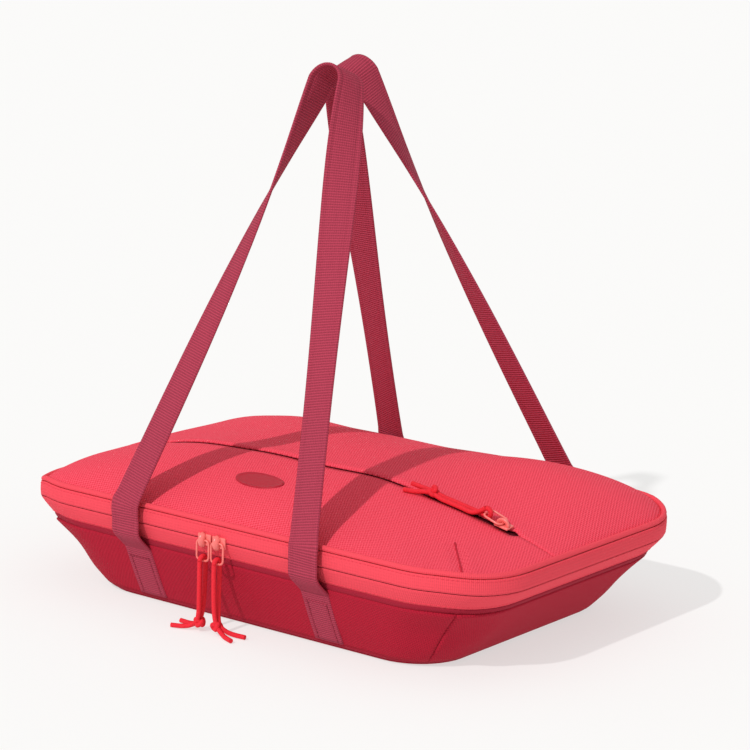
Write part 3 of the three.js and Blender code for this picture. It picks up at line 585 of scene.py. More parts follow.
# Cords. Each pull is a cord looped round the bar of its puller.
# Its two strands run through a knot and end bare.
PULL_BAR_Y = -145.6
PULL_BAR_Z = 52.4
PULL_BEND = 3.1
PULL_KNOT = (8, -146, 6.6)
PULL_STRANDS = (
    [(6.6, -148.7, 52.4), (6.6, -148.7, 45), (6.7, -148.6, 34), (6.9, -148.3, 22), (7.6, -147.9, 13),
     (9.6, -147.6, 7), (14.2, -148.6, 3.6), (20, -151, 2.2), (28, -154, 2.0)],
    [(6.6, -142.5, 52.4), (6.6, -142.5, 45), (6.7, -142.8, 34), (6.9, -143.2, 22), (7.6, -144, 13),
     (9.8, -144.6, 7.2), (14.8, -143.6, 3.7), (21, -142, 2.2), (30, -141, 2.0)],
)
STRAND_LIFT = 2.35
STRAND_SPREAD = 2.05
BEND_RADIUS = 3.15
BEND_LEAD = 12
BAR_LIFT = STRAND_LIFT + BEND_RADIUS
TOP_STRAND_LIFT = BAR_LIFT - 1
BEND_END_REACH = 1.5
BEND_END_SHARE = 0.95
BEND_END_ASIDE = 0.3
BEND_SIDES = 14
STRAND_STEPS = 4
IN_KNOT_ASIDE = 1.4
IN_KNOT_LIFT = 3.4
POCKET_TILT = math.asin((BAR_LIFT - WIRE_REACH) / PULLER_LENGTH)
POCKET_KNOT_REACH = 61
POCKET_KNOT_LIFT = 4.4
POCKET_KNOT_ALONG = (-1, 0, 0.2)
PULL_KNOT_LEAN = 0.3
POCKET_TAILS = (
    ((-6, -3, 3.2), (-12, -6, 2.3), (-20, -9, 2.2)),
    ((-7, 2, 3.3), (-14, 3.5, 2.3), (-22, 4, 2.2)),
)
KNOT_SIZE = 2.2
KNOT_STEPS = 48
KNOT_WIDTH = 0.5
KNOT_DEPTH = 0.9
KNOT_SQUEEZE = 0.94
CORD_STEPS = 4
CORD_ROUNDNESS = 3
SLOPE_STEP = 6


def pocket_axes():
    """The directions along the pocket's slider, into the cloth and across."""
    height = dome_height(POCKET_SLIDER_X, POCKET_Y)
    slope = (dome_height(POCKET_SLIDER_X + SLOPE_STEP, POCKET_Y) - height) / SLOPE_STEP
    side_slope = (dome_height(POCKET_SLIDER_X, POCKET_Y + SLOPE_STEP) - height) / SLOPE_STEP
    along = Vector((1, 0, slope)).normalized()
    inward = Vector((0, 1, side_slope)).cross(along).normalized()
    return along, inward, along.cross(inward)


def pocket_seat():
    seat = Vector((POCKET_SLIDER_X, POCKET_Y, dome_height(POCKET_SLIDER_X, POCKET_Y)))
    return seat - pocket_axes()[1] * POCKET_SLIDER_LIFT


def over_slope(reach, lift, aside):
    """A point near the far bar of the pocket's puller."""
    along, inward, across = pocket_axes()
    bar = PULLER_LENGTH * math.cos(POCKET_TILT)
    return pocket_seat() + along * (reach - bar) - inward * lift + across * aside


def on_dome(x, y, lift):
    return Vector((x, y, dome_height(x, y) + lift))


def pocket_strands():
    """The two strands of the pocket's pull: off the bar, along the lid, through the knot and out as tails."""
    knot_x = POCKET_SLIDER_X - POCKET_KNOT_REACH
    end_x = over_slope(-BEND_LEAD, 0, 0).x
    strands = []
    for side, tail in zip((-1, 1), POCKET_TAILS):
        strand_y = POCKET_Y + side * STRAND_SPREAD
        bend_lift = BAR_LIFT - side * BEND_RADIUS * BEND_END_SHARE
        climb_lift = TOP_STRAND_LIFT if side < 0 else STRAND_LIFT
        line = [
            over_slope(-BEND_END_REACH, bend_lift, side * BEND_END_ASIDE),
            over_slope(-BEND_LEAD / 2, climb_lift, side * STRAND_SPREAD / 2),
        ]
        line += [on_dome(x, strand_y, STRAND_LIFT) for x in spread(end_x, knot_x, STRAND_STEPS)]
        line.append(on_dome(knot_x, POCKET_Y + side * IN_KNOT_ASIDE, IN_KNOT_LIFT))
        line += [on_dome(knot_x + x, POCKET_Y + y, z) for x, y, z in tail]
        strands.append(line)
    return strands


def cord_curve(name, points):
    line = join_curve(points, CORD_STEPS)
    data = bpy.data.curves.new(name, "CURVE")
    data.dimensions = "3D"
    data.bevel_depth = CORD / 2 * MM
    data.bevel_resolution = CORD_ROUNDNESS
    data.use_fill_caps = True
    spline = data.splines.new("POLY")
    spline.points.add(len(line) - 1)
    for point, place in zip(spline.points, line):
        point.co = (place * MM).to_4d()
    spline.use_smooth = True
    return new_object(name, data), distances(line)[-1] * MM


def knot_line(centre, along):
    """The line of an overhand knot drawn tight, about a direction."""
    along = Vector(along).normalized()
    side = along.orthogonal().normalized()
    other = along.cross(side)
    line = []
    for t in full_turn(KNOT_STEPS):
        a = math.sin(t) + 2 * math.sin(2 * t)
        b = math.cos(t) - 2 * math.cos(2 * t)
        c = -math.sin(3 * t)
        offset = side * a * KNOT_WIDTH + other * b * KNOT_WIDTH + along * c * KNOT_DEPTH
        line.append(Vector(centre) + KNOT_SIZE * offset)
    return line


def add_pull(hand, strands, loop, knot, along, nodes):
    body = f"{hand}_puller"
    knot_piece = tube(f"knot_{hand}", knot_line(knot, along), CORD / 2 * KNOT_SQUEEZE, closed=True)
    finish_piece(knot_piece, BRAID, body, [nodes[1]])
    finish_piece(tube(f"cord_loop_{hand}", loop, CORD / 2, BEND_SIDES), BRAID, body)
    for k, points in enumerate(strands):
        strand, length = cord_curve(f"cord_{hand}_{k + 1}", points)
        finish_piece(strand, BRAID, body, [nodes[0]] if k == 0 else ())


def on_side(points, side):
    """Points of the right pull, or their mirror image for the left."""
    return [(SLIDERS_MEET_X + side * x, y, z) for x, y, z in points]


def bend_arc(radius, first, last, step):
    """Points of a cord's bend round a bar, from one angle to another in degrees."""
    turns = [math.radians(t) for t in range(first, last, step)]
    return [(radius * math.cos(t), radius * math.sin(t)) for t in turns]


def add_cords():
    loop = [(SLIDER_X, PULL_BAR_Y + a, PULL_BAR_Z + b) for a, b in bend_arc(PULL_BEND, 0, 181, 15)]
    for hand, side in (("left", -1), ("right", 1)):
        strands = [on_side(s, side) for s in PULL_STRANDS]
        knot = on_side([PULL_KNOT], side)[0]
        nodes = (f"pull_cord_{hand}", f"pull_knot_{hand}")
        add_pull(hand, strands, on_side(loop, side), knot, (PULL_KNOT_LEAN * side, 0, -1), nodes)
    loop = [over_slope(a, BAR_LIFT + b, 0) for a, b in bend_arc(BEND_RADIUS, 110, -111, -20)]
    knot = on_dome(POCKET_SLIDER_X - POCKET_KNOT_REACH, POCKET_Y, POCKET_KNOT_LIFT)
    nodes = ("pocket_cord", "pocket_knot")
    add_pull("pocket", pocket_strands(), loop, knot, POCKET_KNOT_ALONG, nodes)


add_cords()


# Stitches. Each is raised in its middle and sinks into the cloth at both ends.
STITCH_ALONG = ((-1, 0.3, -0.2), (-0.55, 1, 0.9), (0.55, 1, 0.9), (1, 0.3, -0.2))
STITCH_ACROSS = ((-1, -0.6), (-0.6, 0.7), (0.6, 0.7), (1, -0.6))
CORNER_STITCH = (3.2, 2.3, 0.7)
BAND_STITCH = (3.4, 2.5, 0.6)
STRAP_STITCH = (3.0, 2.2, 0.7)


def step_at(gone, at):
    """The last point of a line before a distance along it."""
    return max(j for j in range(len(gone) - 1) if gone[j] <= at)


def stitch_points(first, last, out, length, width):
    along = (last - first).normalized()
    across = along.cross(out).normalized()
    middle = (first + last) / 2
    half = length / 2
    points = []
    for shift, wide, high in STITCH_ALONG:
        base = middle + along * (shift * half)
        for sidewise, lift in STITCH_ACROSS:
            aside = across * sidewise * wide * width / 2
            above = out * (lift * 0.5 + high * 0.5) * width / 2
            points.append(base + aside + above)
    return points


def stitch_run(name, lines, size):
    """Short raised threads along lines of (point, outward direction). The size is (pitch, length, width)."""
    pitch, length, width = size
    sides = len(STITCH_ACROSS)
    points, faces = [], []
    for line in lines:
        places = [Vector(p) for p, _ in line]
        gone = distances(places)
        for k in range(int(gone[-1] / pitch)):
            ends = []
            for at in (k * pitch + (pitch - length) / 2, k * pitch + (pitch + length) / 2):
                i = step_at(gone, at)
                share = (at - gone[i]) / max(gone[i + 1] - gone[i], 1e-6)
                ends.append((places[i].lerp(places[i + 1], share), Vector(line[i][1]).normalized()))
            first = len(points)
            points += stitch_points(ends[0][0], ends[1][0], ends[0][1], length, width)
            last = len(points) - sides
            for row in range(first, last, sides):
                for c in range(sides):
                    a, b = row + c, row + (c + 1) % sides
                    faces.append((a, b, b + sides, a + sides))
            faces.append(tuple(range(first + sides - 1, first - 1, -1)))
            faces.append(tuple(range(last, last + sides)))
    return new_mesh(name, points, faces)


# Tub
WALL_ROWS = 18
WALL_FOOT = 5
WALL_BELLY = 0.9
CORNER_WAVE = 1.5
CORNER_WAVE_START = 0.42
SEAM_GROOVE = (-1.3, 0.5, 0.7, 0.3, 0.1)
GROOVE_AT_FOOT = 0.3
GROOVE_GROWTH = 4
WALL_RIPPLE = 0.35
RIPPLE_ROUND = 0.31
RIPPLE_UP = 4
SHELL_CLOTH = 1.3
SHELL_INSET = 0.1
SHELL_ABOVE_WELT = 1
SHELL_IN_BINDING = 1.5
SEAM_ROWS = (-2, 2)
SEAM_STITCH_OUT = 0.05
CORNER_LEAN = -0.6
WELT_INSET = 0.5
WELT_RADIUS = 2.0
BINDING_HALF = 3
BINDING_INSET = 0.7
BINDING_RADIUS = 1.7
BINDING_TALL = 1.85
BASE_CLOTH = 1.0
LINING_CLOTH = 0.8
CENTRE = 0.08
BASE_EDGE = ((1.7, 0.6), (0.9, 0.1), (0.25, 0.8), (0.0, 4.0))
BASE_LIFT = 0.15
BASE_CROWN = 0.5
BASE_SHARES = (0.9, 0.7, 0.45, 0.2, CENTRE)
FLOOR_SHARES = (0.75, 0.5, 0.25, CENTRE)
LINING_ROWS = 8
LINING_BELOW_ZIP = 0.4
RIM_SEAT = 1.6
LINING_HEM = ((0, RIM_SEAT), (0.1, 4))
COVE = 6
LINING_COVE = ((1.5, 2.2), (COVE, 0))


def wall_swell(i, z):
    """How far the soft wall stands out from its outline."""
    t = (z - WALL_FOOT) / (BINDING_FOOT - WALL_FOOT)
    _, _, nx, ny = BASE_RING[i]
    bend = abs(2 * nx * ny)
    belly = WALL_BELLY * math.sin(math.pi * t) * (1 - bend)
    swell = belly - CORNER_WAVE * bend * math.sin(2 * math.pi * (t - CORNER_WAVE_START))
    seam = min(abs(i - s) for s in SEAMS)
    if seam < len(SEAM_GROOVE):
        swell += SEAM_GROOVE[seam] * min(1, GROOVE_GROWTH * t + GROOVE_AT_FOOT)
    return swell + WALL_RIPPLE * math.sin(RIPPLE_ROUND * i + RIPPLE_UP * t) * math.sin(math.pi * t)


def add_tub():
    levels = evenly(WELT_CENTRE + SHELL_ABOVE_WELT, BINDING_FOOT + SHELL_IN_BINDING, WALL_ROWS)
    section = [(z, SHELL_INSET) for z in levels]
    shell = ring_band("tub_shell", section, closed_section=False, swell=wall_swell)
    thicken(shell, SHELL_CLOTH, ALONG_NORMAL)
    finish_piece(
        shell, SHELL, "tub",
        [f"tub_{side}_panel" for side in ("front", "back", "left", "right")],
    )
    rows = []
    for seam in SEAMS:
        for step in SEAM_ROWS:
            line = []
            for z in levels[1:-1]:
                x, y, nx, ny = outline(z)[seam + step]
                out = wall_swell(seam + step, z) + SEAM_STITCH_OUT
                line.append(((x + nx * out, y + ny * out, settled(x, z)), (nx, ny, CORNER_LEAN)))
            rows.append(line)
    finish_piece(stitch_run("corner_stitches", rows, CORNER_STITCH), THREAD, "tub")

    welt = ring_band("welt", arc_section(WELT_CENTRE, WELT_INSET, WELT_RADIUS, 10))
    finish_piece(welt, BINDING, "tub", ["base_welt"])
    rows = [flat_ring(BASE_RING, inset, z) for z, inset in BASE_EDGE]
    edge = rows[-1]
    rows += [[(x * s, y * s, BASE_LIFT + BASE_CROWN * (1 - s)) for x, y, _ in edge] for s in BASE_SHARES]
    base = closed_sheet("base_fabric", rows, BASE_CLOTH, ALONG_NORMAL)
    finish_piece(base, SHELL, "tub", ["base_panel"])

    centre = BINDING_FOOT + BINDING_HALF
    section = arc_section(centre, BINDING_INSET, BINDING_RADIUS, tall=BINDING_TALL)
    binding = ring_band("binding", section)
    finish_piece(binding, BINDING, "tub", ["tub_rim_binding"])


def add_lining():
    top = ZIP_LOW - LINING_BELOW_ZIP
    levels = evenly(top, FLOOR_TOP + COVE, LINING_ROWS)
    hem = [(top + rise, inset) for rise, inset in LINING_HEM]
    rows = [settled_ring(z, inset) for z, inset in hem + [(z, LINING_INSET) for z in levels]]
    for inset, rise in LINING_COVE:
        rows.append(flat_ring(outline(FLOOR_TOP), LINING_INSET + inset, FLOOR_TOP + rise))
    edge = rows[-1]
    rows += [[(x * share, y * share, FLOOR_TOP) for x, y, _ in edge] for share in FLOOR_SHARES]
    lining = closed_sheet("tub_lining", rows, LINING_CLOTH, AGAINST_NORMAL)
    finish_piece(lining, LINING, "tub", ["tub_liner", "tub_foam", "base_foam", "base_board"])


add_tub()
add_lining()


# Zip band
TAPE_STEPS = 8
TAPE_CROWN = 0.45
TAPE_LAP = 0.4
TAPE_OVER_COIL = 0.3
TAPE_HEM = 0.1
TAPE_BACK = 1.1
TAPE_DEPTH = 1.4
GUSSET_CROWN = 0.5
COIL_INSET = 2.1
COIL_RADIUS = 0.95
COIL_OFFSET = 0.5
BAND_SEAM = 1.2
BAND_STITCH_OUT = 0.25


def tape_section(low, high, crown):
    """A cloth tape that stands a little proud in its middle, with rounded edges."""
    steps = evenly(0, 1, TAPE_STEPS)
    outer = [(low + (high - low) * t, -crown * math.sin(math.pi * t)) for t in steps]
    inner = [(high - TAPE_HEM, TAPE_BACK), ((low + high) / 2, TAPE_DEPTH)]
    return [(low + TAPE_HEM, TAPE_BACK)] + outer + inner


def add_band():
    section = tape_section(BAND_FOOT - TAPE_LAP, ZIP_LOW + TAPE_OVER_COIL, TAPE_CROWN)
    lower = ring_band("lower_band", section, BACK_LEFT, BACK_RIGHT)
    finish_piece(lower, BAND, "tub", ["lower_zip_tape"])
    section = tape_section(ZIP_HIGH - TAPE_OVER_COIL, BAND_TOP + TAPE_LAP, TAPE_CROWN)
    upper = ring_band("upper_band", section, BACK_LEFT, BACK_RIGHT)
    finish_piece(upper, BAND, "lid", ["upper_zip_tape"])
    for name, z, body, node in (
        ("lower_coil", ZIP_LOW - COIL_OFFSET, "tub", "lower_zip_coil"),
        ("upper_coil", ZIP_HIGH + COIL_OFFSET, "lid", "upper_zip_coil"),
    ):
        coil = ring_band(name, arc_section(z, COIL_INSET, COIL_RADIUS, 8), BACK_LEFT, BACK_RIGHT)
        finish_piece(coil, COIL, body, [node])
    section = tape_section(BAND_FOOT - TAPE_LAP, BAND_TOP + TAPE_LAP, GUSSET_CROWN)
    gusset = ring_band("gusset", section, BACK_RIGHT, RING + BACK_LEFT)
    finish_piece(gusset, BAND, None, ["hinge_gusset"])
    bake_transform(gusset)
    for z, body, name in (
        (BAND_FOOT + BAND_SEAM, "tub", "lower_band_stitches"),
        (BAND_TOP - BAND_SEAM, "lid", "upper_band_stitches"),
    ):
        seam = outline(z)[BACK_LEFT:BACK_RIGHT + 1]
        out = BAND_STITCH_OUT
        line = [((x + nx * out, y + ny * out, settled(x, z)), (nx, ny, 0)) for x, y, nx, ny in seam]
        finish_piece(stitch_run(name, [line], BAND_STITCH), LID_THREAD, body)


add_band()


# Lid
LID_COLUMNS = 120
FRONT_ROWS = 26
BACK_ROWS = 60
LID_PADDING = 11
LID_LINING_DROP = 2
LID_LINING_SEAT = 0.3
LID_LINING_SHARES = (1, 0.97, 0.9, 0.8, 0.65, 0.5, 0.3, CENTRE)
DART = ((157, -85), (190, -122))
DART_FADE = (-3, 8)
DART_SHOULDER = 1.8
DART_SHOULDER_WIDTH = 10
DART_DEPTH = 2.6
DART_WIDTH = 4
DART_STEPS = 12
DART_SEAM = 0.6
DART_SEAM_LIFT = 0.85
SLIT_LEFT_FADE = (-6, 18)
SLIT_RIGHT_FADE = (-6, 2)
SLIT_GAP = 0.55
SLIDER_GAPE = 1.0
SLIDER_GAPE_SPAN = (95, 150)
END_GAPE = 1.6
END_GAPE_BACK = 5
END_GAPE_WIDTH = 4
BACK_LIP = 1.2
BACK_LIP_WIDTH = 9
BACK_TURN = 0.9
BACK_TURN_WIDTH = 0.9
FRONT_TUCK = 1.5
FRONT_SINK = 0.3
FRONT_SINK_WIDTH = 5
FRONT_TURN = 0.7
FRONT_TURN_WIDTH = 1.2
LID_WAVES = ((0.5, 0.031, 0.052, 0.6), (0.4, 0.074, -0.041, 2.1))
LID_CALM_POWER = 6
PIPING_RADIUS = 2.1
POCKET_ZIP_STEPS = 80
POCKET_ZIP_CLOTH = 0.6
POCKET_ZIP_SECTION = (
    (-8.6, -2.7), (-2.2, -2.6), (-1.2, -2.0), (0, -1.8), (1.2, -2.0), (2.2, -2.6), (8.6, -2.7),
)


def dart_relief(x, y):
    """The short dart sewn into the front right corner: a groove with soft shoulders."""
    (ax, ay), (bx, by) = DART
    dx, dy = bx - ax, by - ay
    size = math.hypot(dx, dy)
    along = ((x - ax) * dx + (y - ay) * dy) / size
    off = ((x - ax) * dy - (y - ay) * dx) / size
    relief = DART_SHOULDER * hump(off, DART_SHOULDER_WIDTH) - DART_DEPTH * hump(off, DART_WIDTH)
    return smoothstep(*DART_FADE, along) * relief


def pocket_window(x):
    """1 along the pocket slit, falling to 0 past its ends."""
    past_left = smoothstep(*(POCKET_LEFT + d for d in SLIT_LEFT_FADE), x)
    past_right = smoothstep(*(POCKET_RIGHT + d for d in SLIT_RIGHT_FADE), x)
    return past_left * (1 - past_right)


def slit_gap(x):
    """Half the width of the pocket slit. It gapes where the slider holds it and at its right end."""
    gape = SLIDER_GAPE * smoothstep(*SLIDER_GAPE_SPAN, x)
    gape += END_GAPE * hump(x - POCKET_RIGHT + END_GAPE_BACK, END_GAPE_WIDTH)
    return pocket_window(x) * (SLIT_GAP + gape)


def slit_edge(side, gone, window):
    """How far the cloth rises at a distance from the edge of the slit."""
    if side > 0:
        return window * (BACK_LIP * hump(gone, BACK_LIP_WIDTH) - BACK_TURN * hump(gone, BACK_TURN_WIDTH))
    turn = window * FRONT_TURN * hump(gone, FRONT_TURN_WIDTH)
    return -(FRONT_SINK * hump(gone, FRONT_SINK_WIDTH) + turn)


def lid_relief(x, y):
    """The dart and the lid's soft waves, each (height, turn along X, turn along Y, start)."""
    calm = 1 - lid_share(x, y) ** LID_CALM_POWER
    wave = sum(height * math.sin(a * x + b * y + start) for height, a, b, start in LID_WAVES)
    return dart_relief(x, y) + wave * calm


def lid_surface(x, y):
    return dome_height(x, y) + lid_relief(x, y)


def lid_sheet(name, side):
    """The lid's cloth in front of the pocket slit (-1) or behind it (1), as columns along X."""
    count = FRONT_ROWS if side < 0 else BACK_ROWS
    points = []
    for k in range(LID_COLUMNS + 1):
        x = LID_HALF_X * math.sin(math.pi * (k / LID_COLUMNS - 0.5))
        window, gap = pocket_window(x), slit_gap(x)
        edge = POCKET_Y + (FRONT_TUCK * (1 - window) - gap if side < 0 else gap)
        far = side * lid_edge_y(x)
        for j in range(count + 1):
            y = edge + (far - edge) * math.sin(math.pi / 2 * j / count)
            points.append((x, y, lid_surface(x, y) + slit_edge(side, abs(y - edge), window)))
    width = count + 1
    faces = []
    for r in range(LID_COLUMNS):
        for c in range(count):
            quad = [r * width + c, (r + 1) * width + c, (r + 1) * width + c + 1, r * width + c + 1]
            faces.append(quad if side > 0 else quad[::-1])
    piece = new_mesh(name, points, faces)
    lay_flat(piece)
    thicken(piece, SHELL_CLOTH, AGAINST_NORMAL)
    return piece


def add_lid():
    front = lid_sheet("lid_front", -1)
    finish_piece(front, LID, "lid", ["lid_front_panel"])
    back = lid_sheet("lid_back", 1)
    finish_piece(back, LID, "lid", ["lid_back_panel"])
    piping = ring_band("piping", arc_section(PIPING_CENTRE, PIPING_RADIUS, PIPING_RADIUS))
    finish_piece(piping, BAND, "lid", ["lid_piping"])


def add_lid_lining():
    rows = [settled_ring(ZIP_HIGH + LID_LINING_SEAT, RIM_SEAT)]
    for share in LID_LINING_SHARES:
        row = []
        for edge_x, edge_y, _, _ in outline(ZIP_HEIGHT, LID_INSET):
            x, y = edge_x * share, edge_y * share
            lowest = LID_EDGE - end_droop(edge_x) - LID_LINING_DROP
            row.append((x, y, max(dome_height(x, y) - LID_PADDING, lowest)))
        rows.append(row)
    lining = closed_sheet("lid_lining", rows, LINING_CLOTH, ALONG_NORMAL)
    finish_piece(lining, LINING, "lid", ["lid_liner", "lid_foam", "pocket_bag"])


def add_pocket_zip():
    """The zip under the slit: a tape on either side of its coil."""
    rows = []
    for x in evenly(POCKET_LEFT, POCKET_RIGHT, POCKET_ZIP_STEPS):
        rows.append([(x, POCKET_Y + y, lid_surface(x, POCKET_Y + y) + z) for y, z in POCKET_ZIP_SECTION])
    vs = distances([row[0] for row in rows])
    tape = cloth_grid("pocket_zip", rows, [y for y, _ in POCKET_ZIP_SECTION], vs)
    thicken(tape, POCKET_ZIP_CLOTH, AGAINST_NORMAL)
    # The whole tape takes the coil's dark colour: partly the coil's own colour, partly painted shade down in
    # the slit.
    finish_piece(
        tape, COIL, "lid", ["pocket_zip_tape_front", "pocket_zip_tape_back", "pocket_zip_coil"],
    )


# The dart's seam line, in a darker red that also paints the shade in the crease of the dart.
def add_dart_seam():
    (ax, ay), (bx, by) = DART
    places = zip(evenly(ax, bx, DART_STEPS), evenly(ay, by, DART_STEPS))
    line = [(x, y, lid_surface(x, y) + DART_SEAM_LIFT) for x, y in places]
    finish_piece(tube("dart_seam", line, DART_SEAM, 8), DART_SEAM_AND_SHADE, "lid")


add_lid()
add_lid_lining()
add_pocket_zip()
add_dart_seam()


# Badge, left plain
BADGE_TURNS = 48
BADGE_LIFT = 0.55
BADGE_RINGS = (
    (0.02, 0.2), (0.35, 0.25), (0.7, 0.2), (0.86, 0.1), (0.9, 0.35), (0.96, 0.45), (1, 0.15), (1.005, -0.4),
)


def add_badge():
    rows = []
    for share, lift in BADGE_RINGS:
        row = []
        for t in full_turn(BADGE_TURNS):
            x = BADGE_X + BADGE_LENGTH / 2 * share * math.cos(t)
            y = BADGE_Y + BADGE_WIDTH / 2 * share * math.sin(t)
            row.append((x, y, lid_surface(x, y) + BADGE_LIFT + lift))
        rows.append(row)
    badge = cloth_grid("badge", rows, [0] * (BADGE_TURNS + 1), [0] * len(BADGE_RINGS), wrap=True)
    finish_piece(badge, PATCH, "lid", ["badge_patch"])


add_badge()


# Webbing
WALL_TILT = math.atan((RIM_WIDTH - BASE_WIDTH) / 2 / ZIP_HEIGHT)
WALL_OUT = Vector((0, -math.cos(WALL_TILT), -math.sin(WALL_TILT)))
STRAP_LEFT = ((-12.5, 0.0), (-12.3, 0.8), (-11.4, 1.1), (-9.2, 1.05), (-8.6, 0.75), (-8.0, 1.05), (-4, 1.15))
STRAP_FACE = STRAP_LEFT + ((0, 1.2),) + tuple((-a, b) for a, b in STRAP_LEFT[::-1])
STRAP_SECTION = STRAP_FACE + tuple((a, -b) for a, b in STRAP_FACE[-2:0:-1])
LEG_STEPS = 70
FOLD_STEPS = 20
FOOT_STEPS = 6
FOOT_OUT = 1.5
BAND_ENTRY_IN = 1.2
BAND_ENTRY_Z = 58
BEND_LEAD_SHARE = 0.06
FOOT_ROUTE = ((6.6, FOOT_OUT), (24, 1.9), (STITCH_HEIGHT, FOOT_OUT), (BINDING_FOOT - 0.3, 2.7))
STITCH_ROWS_X = (-8.6, 8.6)
STITCH_ROWS_Z = (8, 16, 24, 32, 38)
STITCH_ROWS_OUT = 3.0
CROSS_STITCH_X = (-11, -5, 0, 5, 11)
CROSS_STITCH_Z = 39
CROSS_STITCH_OUT = 2.9


def front_wall(x, z, out):
    return Vector((x, -flared(BASE_WIDTH, RIM_WIDTH, z) / 2, z)) + WALL_OUT * out


def faced(place, facing):
    """A place or direction at the front, or its mirror image at the back."""
    return Vector((place.x, facing * place.y, place.z))


def strap_line(middle, apex_x, turn):
    """The middle of a handle's webbing from the foot of its right leg to that of its left, with its twist."""
    rise = Vector((0, -HANDLE_APEX_Y - BAND_STRAP_Y, HANDLE_HEIGHT - LEG_FOOT))
    reach = rise.length
    rise.normalize()
    fold_height = reach - STRAP / 2 - HANDLE_FOLD_RADIUS

    def in_loop(x, height):
        return Vector((x, BAND_STRAP_Y, LEG_FOOT)) + rise * height

    def touch(side):
        run = STRAP_X - side * (apex_x - middle)
        return math.atan2(run, fold_height) + math.acos(HANDLE_FOLD_RADIUS / math.hypot(run, fold_height))

    def fold_point(angle):
        r = HANDLE_FOLD_RADIUS
        return in_loop(apex_x + r * math.sin(angle), fold_height - r * math.cos(angle))

    def leg(side, top):
        x = middle + side * STRAP_X
        foot = [front_wall(x, z, out) for z, out in FOOT_ROUTE]
        foot.append(Vector((x, BAND_STRAP_Y + BAND_ENTRY_IN, BAND_ENTRY_Z)))
        foot.append(Vector((x, BAND_STRAP_Y, ZIP_HEIGHT)))
        bend = in_loop(x, 0)
        route = join_curve(foot + [bend, bend.lerp(top, BEND_LEAD_SHARE)], FOOT_STEPS)
        line = [(p, 0.0) for p in route[:-FOOT_STEPS]]
        for t in evenly(0, 1, LEG_STEPS)[1:]:
            twist = t ** HANDLE_TWIST_POWER * math.pi / 2 - side * turn * t ** HANDLE_TURN_POWER
            line.append((bend.lerp(top, t), twist))
        return line

    start, end = touch(1), 2 * math.pi - touch(-1)
    right = leg(1, fold_point(start))
    fold = []
    for share in spread(0, 1, FOLD_STEPS)[1:]:
        fold.append((fold_point(start + (end - start) * share), math.pi / 2 - turn * (1 - 2 * share)))
    return right + fold + leg(-1, fold_point(end))[::-1]


def strap_rows(line, facing):
    """The webbing's section at each point of its line, turned by its twist."""
    face = Vector((0, LEG_FOOT - HANDLE_HEIGHT, -HANDLE_APEX_Y - BAND_STRAP_Y)).normalized()
    rows = []
    for i, (point, twist) in enumerate(line):
        along = (line[min(i + 1, len(line) - 1)][0] - line[max(i - 1, 0)][0]).normalized()
        level = face
        if twist == 0:
            level = Vector((0, -along.z, along.y)).normalized()
            level = level if level.y < 0 else -level
        outer = along.cross(level).normalized()
        out = level * math.cos(twist) + outer * math.sin(twist)
        across = out.cross(along).normalized()
        out = along.cross(across)
        rows.append([faced(point + across * a + out * b, facing) for a, b in STRAP_SECTION])
    return rows


def add_strap(end, facing, middle, apex_x):
    line = strap_line(middle, apex_x, facing * HANDLE_TURN)
    us = distances([(a, b, 0) for a, b in STRAP_SECTION + STRAP_SECTION[:1]])
    vs = distances([p for p, _ in line])
    strap = cloth_grid(f"{end}_strap", strap_rows(line, facing), us, vs, wrap=True, caps=True)
    if facing < 0:
        strap.data.flip_normals()
    finish_piece(
        strap, WEBBING, None,
        [f"{end}_handle", f"{end}_anchor_strap_left", f"{end}_anchor_strap_right"],
    )
    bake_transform(strap)

    out = faced(WALL_OUT, facing)
    rows = []
    for side in (-1, 1):
        x = middle + side * STRAP_X
        runs = [[(x + shift, z, STITCH_ROWS_OUT) for z in STITCH_ROWS_Z] for shift in STITCH_ROWS_X]
        runs.append([(x + shift, CROSS_STITCH_Z, CROSS_STITCH_OUT) for shift in CROSS_STITCH_X])
        rows += [[(faced(front_wall(*place), facing), out) for place in run] for run in runs]
    finish_piece(stitch_run(f"{end}_strap_stitches", rows, STRAP_STITCH), STRAP_THREAD, "tub")


add_strap("front", 1, FRONT_STRAPS_MIDDLE, FRONT_APEX_X)
add_strap("back", -1, BACK_STRAPS_MIDDLE, BACK_APEX_X)


# Sliders and pullers
PLATE_SIZE = (12, 1.8, 8.4)
PLATE_EDGE = 0.85
PLATE_EDGE_STEPS = 4
PLATE_OUT = -1.1
LOOP_CORNER = 3.2
LOOP_STEPS = 6
BRIDGE_FOOT = -1.6
BRIDGE_RISE = 3.2
BRIDGE_HALF = 3.6
BRIDGE_BAR = 1.45
BRIDGE_FLAT = 1.8
BRIDGE_STEPS = 12


def round_box(name, size, edge, place):
    """A block with well rounded edges."""
    x, y, z = (s / 2 for s in size)
    points = [(sx * x, sy * y, sz * z) for sx in (-1, 1) for sy in (-1, 1) for sz in (-1, 1)]
    faces = [(0, 1, 3, 2), (4, 6, 7, 5), (0, 4, 5, 1), (2, 3, 7, 6), (0, 2, 6, 4), (1, 5, 7, 3)]
    piece = new_mesh(name, points, faces)
    bevel = piece.modifiers.new("edge", "BEVEL")
    bevel.width = edge * MM
    bevel.segments = PLATE_EDGE_STEPS
    piece.matrix_world = place
    return piece


def wire_loop(name, place):
    """A closed wire loop with its upper bar on the X axis, hanging towards -Z."""
    x = PULLER_WIDTH / 2 - LOOP_CORNER
    low, high = -PULLER_LENGTH + LOOP_CORNER, -LOOP_CORNER
    line = []
    for cx, cz, start in ((x, low, -90), (x, high, 0), (-x, high, 90), (-x, low, 180)):
        for angle in map(math.radians, evenly(start, start + 90, LOOP_STEPS)):
            line.append(Vector((cx + LOOP_CORNER * math.cos(angle), 0, cz + LOOP_CORNER * math.sin(angle))))
    piece = tube(name, line, WIRE, closed=True)
    piece.matrix_world = place
    return piece


